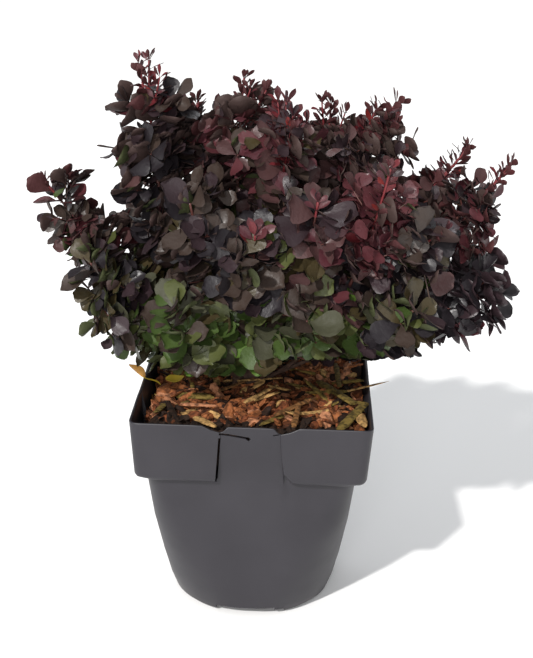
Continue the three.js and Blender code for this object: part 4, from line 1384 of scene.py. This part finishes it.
def growLeaves(index):
    draw = np.random.default_rng(leaf["seed"] + index)
    name, flush = sprayNames[index], sprays[index]["flush"]
    hang = hanging.get(name, stance["hang"])
    nodes = nodesOf(index)
    radial = unit(nodes["place"] * (1, 1, 0))
    up = np.array((0, 0, 1.0))
    light = unit(radial * plant["lightOut"] + up * plant["lightUp"] + plant["lightAlong"] * nodes["heading"])
    nodes["axis"] = unit(nodes["heading"] + growth["rise"] * up)
    atTip = nodes["rank"] < 0.5
    youngCount = leaf["youngPerNode"] + (name == "front_spike")
    grownCount = leaf["perNode"] + (draw.random(len(atTip)) > leaf["fourthFrom"])
    count = np.where(nodes["young"], youngCount, grownCount)
    tipCount = np.where(nodes["young"], leaf["youngTipLeaves"], leaf["tipLeaves"])
    count = np.where(atTip, tipCount, count)
    records = []
    for k in range(leaf["tipLeaves"]):
        use = k < count
        n = int(use.sum())
        heading, below, young, tip = (nodes[key][use] for key in ("axis", "below", "young", "rank"))
        tip = tip < 0.5
        lit = light[use]
        u, v = across(heading)
        spin = draw.uniform(-stance["spin"], stance["spin"], n)
        spin = nodes["turn"][use] + 2 * math.pi * k / count[use] + spin
        out = u * np.cos(spin)[:, None] + v * np.sin(spin)[:, None]
        # leaves at the foot of a flush rise round it like those at a tip
        foot = np.where(nodes["leader"][use] & ~young, below - flush, below)
        age = smoothStep(0, stance["grownBy"], foot)
        first, gain, spread = stance["pitch"]
        pitch = np.radians(first + gain * age + spread * draw.normal(size=n))
        least, most, gain = stance["youngPitch"]
        pitch = np.where(young, np.radians(draw.uniform(least, most, n) + gain * age), pitch)
        for which, key in ((tip & ~young, "tipPitch"), (tip & young, "youngTipPitch")):
            first, gain = stance[key]
            pitch = np.where(which, np.radians(first + gain * k), pitch)
        way = out * np.sin(pitch)[:, None] + heading * np.cos(pitch)[:, None]
        grown = (age * ~young)[:, None]
        toLight = grown * (stance["toLight"] * lit - hang * up)
        way = unit(way + toLight + stance["waySpread"] * draw.normal(size=(n, 3)))
        spread = np.where(young, *stance["faceSpread"])[:, None]
        lean = lit + stance["faceAlong"] * heading + spread * draw.normal(size=(n, 3))
        side = unit(np.cross(lean, way))
        face = np.cross(way, side)
        sooner, shortFlush = leaf["leaderOpens"]
        opened = smoothStep(0, leaf["openBy"], below + sooner * (nodes["leader"][use] & (flush < shortFlush)))
        full = draw.uniform(*leaf["fullSize"], n) * (leaf["unopened"] + (1 - leaf["unopened"]) * opened)
        wanted = np.minimum(leaf["length"] * leafScale.get(name, 1.0) * full, leaf["longest"])
        youngLength = leaf["youngTip"] + leaf["youngGrowth"] * below + leaf["youngSpread"] * draw.random(n)
        wanted = np.where(young, richFlush.get(name, 1.0) * youngLength, wanted)
        shape = np.where(young, leaf["youngShape"], leaf["shape"] * draw.uniform(*leaf["shapeSpread"], n))
        bends = {key: draw.uniform(low, high, n) for key, (low, high) in leafBends.items()}
        records.append({
            "place": nodes["place"][use] + leaf["stalk"] * way, "way": way, "face": face,
            "wanted": wanted, "shape": shape, "young": young, "below": below,
            "leader": nodes["leader"][use], **bends,
        })
    buds = {key: np.concatenate([r[key] for r in records]) for key in records[0]}
    chosen = np.zeros(len(buds["wanted"]))
    for size in leaf["sizes"]:
        waiting = np.flatnonzero(chosen == 0)
        some = {key: value[waiting] for key, value in buds.items()}
        length = some["wanted"] * size
        tests = leafPoints(some, length, length * some["shape"])[:, testSpots]
        chosen[waiting[staysHome(tests, index, freer.get(name, plant["overlap"]))]] = size
    # the largest that fits its place is taken, but most stay near the wanted size
    most = np.where(draw.random(len(chosen)) > leaf["mostlyUnder"], leaf["largest"], 1.0)
    keep = chosen > 0
    buds["length"] = buds["wanted"] * np.minimum(chosen, most)
    return {key: value[keep] for key, value in buds.items()}


leafColours = {
    "night": (0.015, 0.012, 0.0145),
    "plum": (0.029, 0.0175, 0.0208),
    "plumBrown": (0.038, 0.0255, 0.0205),
    "rosewood": (0.064, 0.030, 0.030),
    "claret": (0.074, 0.020, 0.024),
    "wineRed": (0.060, 0.016, 0.021),
    "crimson": (0.112, 0.016, 0.020),
    "scarlet": (0.165, 0.019, 0.017),
    "bronzeLeaf": (0.043, 0.032, 0.014),
    "oliveLeaf": (0.059, 0.067, 0.021),
    "mossLeaf": (0.044, 0.071, 0.017),
    "freshLeaf": (0.064, 0.118, 0.018),
    "greyLeaf": (0.048, 0.048, 0.029),
    "mauveUnder": (0.048, 0.029, 0.026),
    "sageUnder": (0.048, 0.055, 0.022),
    "roseUnder": (0.062, 0.020, 0.021),
}
leafNames = list(leafColours)
leafIndex = {name: i for i, name in enumerate(leafNames)}
# the shaded leaves of both red tints
shadedRed = (("rosewood", 2), ("plumBrown", 4), ("bronzeLeaf", 3), ("oliveLeaf", 2), ("mossLeaf", 3),
             ("freshLeaf", 0.5))
# upper faces by tint, with shares for the outer leaves and for the shaded ones below and inside
tints = {
    "dusk": ((("wineRed", 0.5), ("rosewood", 1), ("plum", 5), ("night", 5), ("plumBrown", 4)),
             (("night", 1), ("plumBrown", 3), ("bronzeLeaf", 3), ("oliveLeaf", 2), ("mossLeaf", 4),
              ("freshLeaf", 0.6))),
    "wine": ((("claret", 1.6), ("wineRed", 3), ("rosewood", 4.4), ("plum", 5), ("plumBrown", 2),
              ("night", 1)),
             shadedRed),
    "earth": ((("rosewood", 1), ("plum", 4), ("night", 5), ("plumBrown", 5), ("bronzeLeaf", 1)),
              (("plum", 1), ("plumBrown", 3), ("bronzeLeaf", 3), ("oliveLeaf", 3), ("mossLeaf", 5),
               ("freshLeaf", 0.8))),
    "claret": ((("claret", 8), ("wineRed", 3), ("rosewood", 3), ("plum", 3), ("night", 1)), shadedRed),
    "rust": ((("rosewood", 4), ("claret", 2.4), ("plumBrown", 3.4), ("plum", 2.6)),
             (("plumBrown", 2), ("mossLeaf", 4), ("bronzeLeaf", 2), ("night", 2), ("oliveLeaf", 2),
              ("freshLeaf", 1))),
    "bronze": ((("plumBrown", 5), ("plum", 3), ("bronzeLeaf", 3), ("night", 3), ("greyLeaf", 1)),
               (("oliveLeaf", 3), ("mossLeaf", 4), ("bronzeLeaf", 2), ("greyLeaf", 2), ("freshLeaf", 0.5))),
    # near-black leaves of the lower right: their own dark purple, darkened further as painted shade
    "black": ((("wineRed", 1), ("plum", 3), ("night", 6)), (("night", 4), ("plumBrown", 1), ("mossLeaf", 1))),
    "olive": ((("night", 1), ("plum", 2), ("plumBrown", 4), ("bronzeLeaf", 3), ("greyLeaf", 2),
               ("oliveLeaf", 2), ("mossLeaf", 2.5)),
              (("plumBrown", 1), ("greyLeaf", 1), ("oliveLeaf", 3), ("mossLeaf", 5), ("freshLeaf", 1.5))),
}
# young leaves, and those of the rosette in front
youngTable = (("scarlet", 0.7), ("crimson", 5), ("claret", 5), ("wineRed", 3), ("plum", 1))
roseTable = (("crimson", 1), ("claret", 5), ("wineRed", 6))
# leaves just under a flush, where the tint is red
collarTable = (("claret", 1.4), ("wineRed", 3), ("rosewood", 3), ("plum", 4))
redTints = ("wine", "claret")
undersides = {
    "mauveUnder": ("night", "plum", "plumBrown", "rosewood"),
    "roseUnder": ("wineRed", "claret", "crimson", "scarlet"),
    "sageUnder": ("bronzeLeaf", "oliveLeaf", "mossLeaf", "freshLeaf", "greyLeaf"),
}
underOf = {upper: under for under, uppers in undersides.items() for upper in uppers}
# how the shaded colours and the colours within a list are dealt
shading = {
    "seed": 500,
    "alongShoot": 55.0,  # a leaf this many mm below its shoot's tip is deep in the shade
    "fromTop": (238.0, 85.0),  # and so is one that lies the second under the first, a height
    "patchScale": 0.045,
    "collar": 12.0,  # mm under a flush
    # shaded leaves are those where spread times chance, start and patch stay under depth times most
    "spread": 0.5,
    "start": 0.14,
    "patches": 0.9,
    "most": 0.72,
    "rankPatches": 0.75,
    "rankSpread": 0.34,
}


def dealTints(index, buds):
    # outer leaves take the first list, shaded ones the second, young ones are red
    draw = np.random.default_rng(shading["seed"] + index)
    name, flush, tint = (sprays[index][key] for key in ("name", "flush", "tint"))
    outer, shaded = tints[tint]
    place = buds["place"]
    height, drop = shading["fromTop"]
    depth = buds["below"] / shading["alongShoot"] + (height - place[:, 2]) / drop
    green = greenShare.get(name, 1.0)
    # leaves that grow together have much the same colour
    shift = Vector((index, 0, 0))
    patch = np.array([noise.noise(Vector(p) * shading["patchScale"] + shift) for p in place])
    level = draw.random(len(depth)) * shading["spread"] + shading["start"] + shading["patches"] * patch
    inShade = level < np.clip(depth, 0, 1) * shading["most"] * green
    spread = draw.uniform(-shading["rankSpread"], shading["rankSpread"], len(depth))
    rank = np.clip(0.5 + shading["rankPatches"] * patch + spread, 0, 0.999)
    inCollar = buds["leader"] & (buds["below"] < flush + shading["collar"]) & (tint in redTints)
    names = []
    for i in range(len(depth)):
        if buds["young"][i]:
            table = roseTable if name == "front_rose" else youngTable
        elif inCollar[i]:
            table = collarTable
        else:
            table = shaded if inShade[i] else outer
        weights = np.cumsum([w for _, w in table])
        chosen = draw.random() if buds["young"][i] else rank[i]
        names.append(table[int(np.searchsorted(weights, chosen * weights[-1], side="right"))][0])
    top = np.array([leafIndex[n] for n in names])
    # undersides of the black tint take dark plum instead of mauve: painted shade
    under = np.array([leafIndex["plum" if tint == "black" else underOf[n]] for n in names])
    return top, under


# pieces of foliage by side of the crown, each for its own sprays
zones = {
    "left": ("tall_left", "left_notch", "far_left", "left_out", "left_back", "left_low"),
    "front": ("front_rose", "front_left", "front_right", "front_left_low", "front_right_low"),
    "top": ("top_left", "top_centre", "top_back_right", "right_top"),
    "right": ("front_spike", "right_mid", "far_right", "right_front", "right_out", "right_low"),
    "back": ("back_left", "back_mid_left", "back_mid_right", "back_right", "back_low"),
}


def addLeaves(zone, finishes):
    points = []
    finishOf = []
    for name in zones[zone]:
        index = sprayNames.index(name)
        buds = growLeaves(index)
        top, under = dealTints(index, buds)
        shape = leafPoints(buds, buds["length"], buds["length"] * buds["shape"])
        points.append(shape)
        finishOf.append(np.where(leafSides[None] == 0, top[:, None], under[:, None]))
    points = np.concatenate(points)
    finishOf = np.concatenate(finishOf).ravel()
    corners = points.shape[1]
    faces = (leafFaces[None] + (np.arange(len(points)) * corners)[:, None, None]).reshape(-1, 4)
    piece = joinedMesh(f"leaves_{zone}", points.reshape(-1, 3) * mm, faces, finishes, finishOf)
    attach(piece, "root")
    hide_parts(*[f"spray_{name}" for name in zones[zone]])
    print("leaves", zone + ":", len(points))


def makeLeafFinishes():
    finishes = []
    for name in leafNames:
        isUnder = name.endswith("Under")
        finishes.append(makeFinish(
            name, leafColours[name], gloss=(160, 0.50, 0.72) if isUnder else (220, 0.30, 0.55),
            relief=(380, 5), bump=0.5, depth=0.7, specular=0.25 if isUnder else 0.38))
    return finishes


leafFinishes = makeLeafFinishes()
for zoneName in zones:
    addLeaves(zoneName, leafFinishes)


# twigs and spines

def tubePoints(limb, begin, end, rings, sides, r0, r1, swell=0.0):
    # every second ring is wider by the swell
    t = np.linspace(begin, end, rings)
    centre = limb.point(t)
    u, v = across(limb.heading(t))
    angle = np.arange(sides) * 2 * math.pi / sides
    radius = r0 + (r1 - r0) * np.linspace(0, 1, rings)
    radius = radius * (1 + swell * (np.arange(rings) % 2))
    rim = (u[:, None] * np.cos(angle)[None, :, None] + v[:, None] * np.sin(angle)[None, :, None])
    points = centre[:, None] + rim * radius[:, None, None]
    ends = np.stack((centre[0], centre[-1] + limb.heading(t[-1]) * r1))
    return np.concatenate((points.reshape(-1, 3), ends))


twigColours = {
    "oldTwig": (0.062, 0.036, 0.026),
    "redTwig": (0.085, 0.026, 0.021),
    "flushTwig": (0.150, 0.017, 0.021),
    "thorn": (0.150, 0.075, 0.042),
}
oldTwig, redTwig, flushTwig, thornTwig = range(4)  # their places in this order
twigs = {
    "ringEvery": 4.0,  # mm along a leader
    "leastRings": 8,
    "leaderSides": 6,
    "swell": 0.12,
    "spireGrid": (8, 5),  # rings and sides
    "sideGrid": (5, 5),
    "spurGrid": (3, 4),
    "thornGrid": (2, 3),
    "flushBelow": 4.0,  # the red of a flush reaches this far under it, and red bark this far
    "redBelow": 45.0,
    "slimTip": 0.8,
}


class Heap:
    # gathers points, faces and finishes of many small solids

    def __init__(self):
        self.points, self.faces, self.finish, self.count = [], [], [], 0

    def add(self, points, faces, finish):
        self.points.append(points)
        self.faces.append(faces + self.count)
        self.finish.append(np.full(len(faces), finish) if np.isscalar(finish) else finish)
        self.count += len(points)

    def piece(self, name, finishes):
        return joinedMesh(name, np.concatenate(self.points) * mm, np.concatenate(self.faces), finishes,
                          np.concatenate(self.finish))


def addTwigs(zone, finishes):
    heap = Heap()
    for name in zones[zone]:
        index = sprayNames.index(name)
        flush = sprays[index]["flush"]
        for s, shoot in enumerate(shootTable[index]):
            limb, begin = shoot["limb"], shoot["from"]
            length = limb.length * (1 - begin)
            if shoot["kind"] == "leader":
                rings = max(int(length / twigs["ringEvery"]), twigs["leastRings"])
                sides = twigs["leaderSides"]
                points = tubePoints(limb, begin, 1, rings, sides, shoot["r0"], shoot["r1"], twigs["swell"])
                faces = tubeFaces(rings, sides)
                ringOfFace = faces.min(axis=1) // sides
                below = length * (1 - np.minimum(ringOfFace, rings - 2) / (rings - 1))
                finish = np.where(below < flush + twigs["redBelow"], redTwig, oldTwig)
                finish = np.where(below < flush + twigs["flushBelow"], flushTwig, finish)
                heap.add(points, faces, finish)
                continue
            grid = twigs[shoot["kind"] + "Grid"]
            if shoot["kind"] == "spire":
                heap.add(tubePoints(limb, 0, 1, *grid, shoot["r0"], shoot["r1"]), tubeFaces(*grid), flushTwig)
            else:
                points = tubePoints(limb, 0, 1, *grid, shoot["r0"], shoot["r1"] * twigs["slimTip"])
                heap.add(points, tubeFaces(*grid), redTwig if s % 3 else oldTwig)
        addSpines(heap, index)
    piece = heap.piece(f"twigs_{zone}", finishes)
    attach(piece, "root")
    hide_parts(*[f"spray_{name}" for name in zones[zone]])
    return piece


def addSpines(heap, index):
    # a thin straight thorn under every second node
    nodes = nodesOf(index)
    use = (nodes["rank"] % 2 == 1) & nodes["leader"] & ~nodes["young"]
    place, heading = nodes["place"][use], nodes["heading"][use]
    u, v = across(heading)
    angle = nodes["turn"][use] + math.pi
    out = u * np.cos(angle)[:, None] + v * np.sin(angle)[:, None]
    way = unit(out - growth["spineDroop"] * heading)
    ends = place + way * (growth["spineClear"] + growth["spineLength"])
    good = staysHome(ends[:, None], index)
    for root, direction in zip(place[good], way[good]):
        start = root + direction * growth["spineFrom"]
        tip = root + direction * growth["spineLength"]
        thorn = Limb(start, (start + tip) / 2, tip)
        points = tubePoints(thorn, 0, 1, *twigs["thornGrid"], *growth["spineRadii"])
        heap.add(points, tubeFaces(*twigs["thornGrid"]), thornTwig)


twigFinishes = [makeFinish(label, colour, gloss=(200, 0.4, 0.6), relief=(700, 4), bump=0.4, depth=0.25)
                for label, colour in twigColours.items()]
twigPieces = [addTwigs(zone, twigFinishes) for zone in zones]
print("twigs:", sum(len(p.data.polygons) for p in twigPieces), "faces")


# woody stems: the short crown of wood and the canes with bark relief

wood = {
    "caneSides": 10,
    "caneRings": 26,
    "ridge": 0.16,
    "barkStretch": (0.9, 0.9, 0.35),  # the relief runs along the stem
    "stumpSides": 40,
    "footRise": 2.0,
    "column": ((0.4, 2.0), (-0.2, 2.5), (-0.3, 3.2), (0.0, 0.8)),  # beyond the radius, and rise
    "dome": (0, 12, 24, 36, 48, 60, 72, 84),  # degrees
    "stumpRidge": 0.055,
    "ridgesRound": 6,
    "ridgesAlong": 0.12,
    "barkA": (0.120, 0.070, 0.048),
    "barkB": (0.050, 0.030, 0.024),
}


def addStems(finish):
    heap = Heap()
    rings, sides = wood["caneRings"], wood["caneSides"]
    faces = tubeFaces(rings, sides)
    for index, limb in enumerate(limbs):
        points = tubePoints(limb, 0, plant["enter"], rings, sides, plant["caneRadius"],
                            plant["caneTipRadius"])
        centre = np.repeat(limb.point(np.linspace(0, plant["enter"], rings)), sides, axis=0)
        body = points[:-2]
        shift = Vector((index, 0, 0))
        rough = np.array([noise.noise(Vector(p * wood["barkStretch"]) + shift) for p in body])
        points[:-2] = centre + (body - centre) * (1 + wood["ridge"] * rough)[:, None]
        heap.add(points, faces, 0)
    piece = heap.piece("canes", [finish])
    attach(piece, "root")
    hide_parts(*[f"cane_{name}" for name in sprayNames])


def addStump(finish):
    # a cylinder drawn out into a flared foot, a column and a dome
    deselectAll()
    radius = plant["crownRadius"]
    middle = np.array(plant["crownAt"]) * mm
    depth = wood["footRise"] * mm
    bpy.ops.mesh.primitive_cylinder_add(
        vertices=wood["stumpSides"], radius=plant["crownFootRadius"] * mm, depth=depth,
        location=(*middle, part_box("crown_wood")[0].z + depth / 2))
    stump = bpy.context.object
    stump.name = "wood_crown"
    settle(stump)
    bpy.ops.object.mode_set(mode="EDIT")
    bpy.ops.mesh.select_mode(type="FACE")
    bpy.ops.mesh.select_all(action="DESELECT")
    bpy.ops.object.mode_set(mode="OBJECT")
    for face in stump.data.polygons:
        face.select = face.normal.z > 0.9
    bpy.ops.object.mode_set(mode="EDIT")
    width = plant["crownFootRadius"]
    profile = [(radius + change, rise) for change, rise in wood["column"]]
    turns = [math.radians(degrees) for degrees in wood["dome"]]
    for before, turn in zip(turns, turns[1:]):
        profile.append((radius * math.cos(turn), radius * (math.sin(turn) - math.sin(before))))
    for nextWidth, rise in profile:
        bpy.ops.mesh.extrude_region_move(TRANSFORM_OT_translate={"value": (0, 0, rise * mm)})
        share = nextWidth / width
        bpy.ops.transform.resize(value=(share, share, 1))
        width = nextWidth
    bpy.ops.mesh.select_all(action="SELECT")
    bpy.ops.mesh.subdivide(number_cuts=1)
    bpy.ops.object.mode_set(mode="OBJECT")
    points = pointsOf(stump)
    ridges, along = wood["ridgesRound"], wood["ridgesAlong"]
    for i, p in enumerate(points):
        angle = math.atan2(p[1] - middle[1], p[0] - middle[0])
        height = noise.noise(Vector((math.cos(angle) * ridges, math.sin(angle) * ridges, p[2] / mm * along)))
        points[i, :2] = middle + (points[i, :2] - middle) * (1 + wood["stumpRidge"] * (height - 0.5))
    putPoints(stump, points)
    smoothByAngle(stump, 50)
    stump.data.materials.append(finish)
    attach(stump, "root")
    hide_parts("crown_wood")


barkFinish = makeFinish(
    "bark", wood["barkA"], wood["barkB"], mottle=(260, 5, 0.35, 0.65), gloss=(120, 0.65, 0.85),
    relief=(420, 6), bump=0.8, depth=0.7, specular=0.3)
addStems(barkFinish)
addStump(barkFinish)
print("stems and crown of wood done")
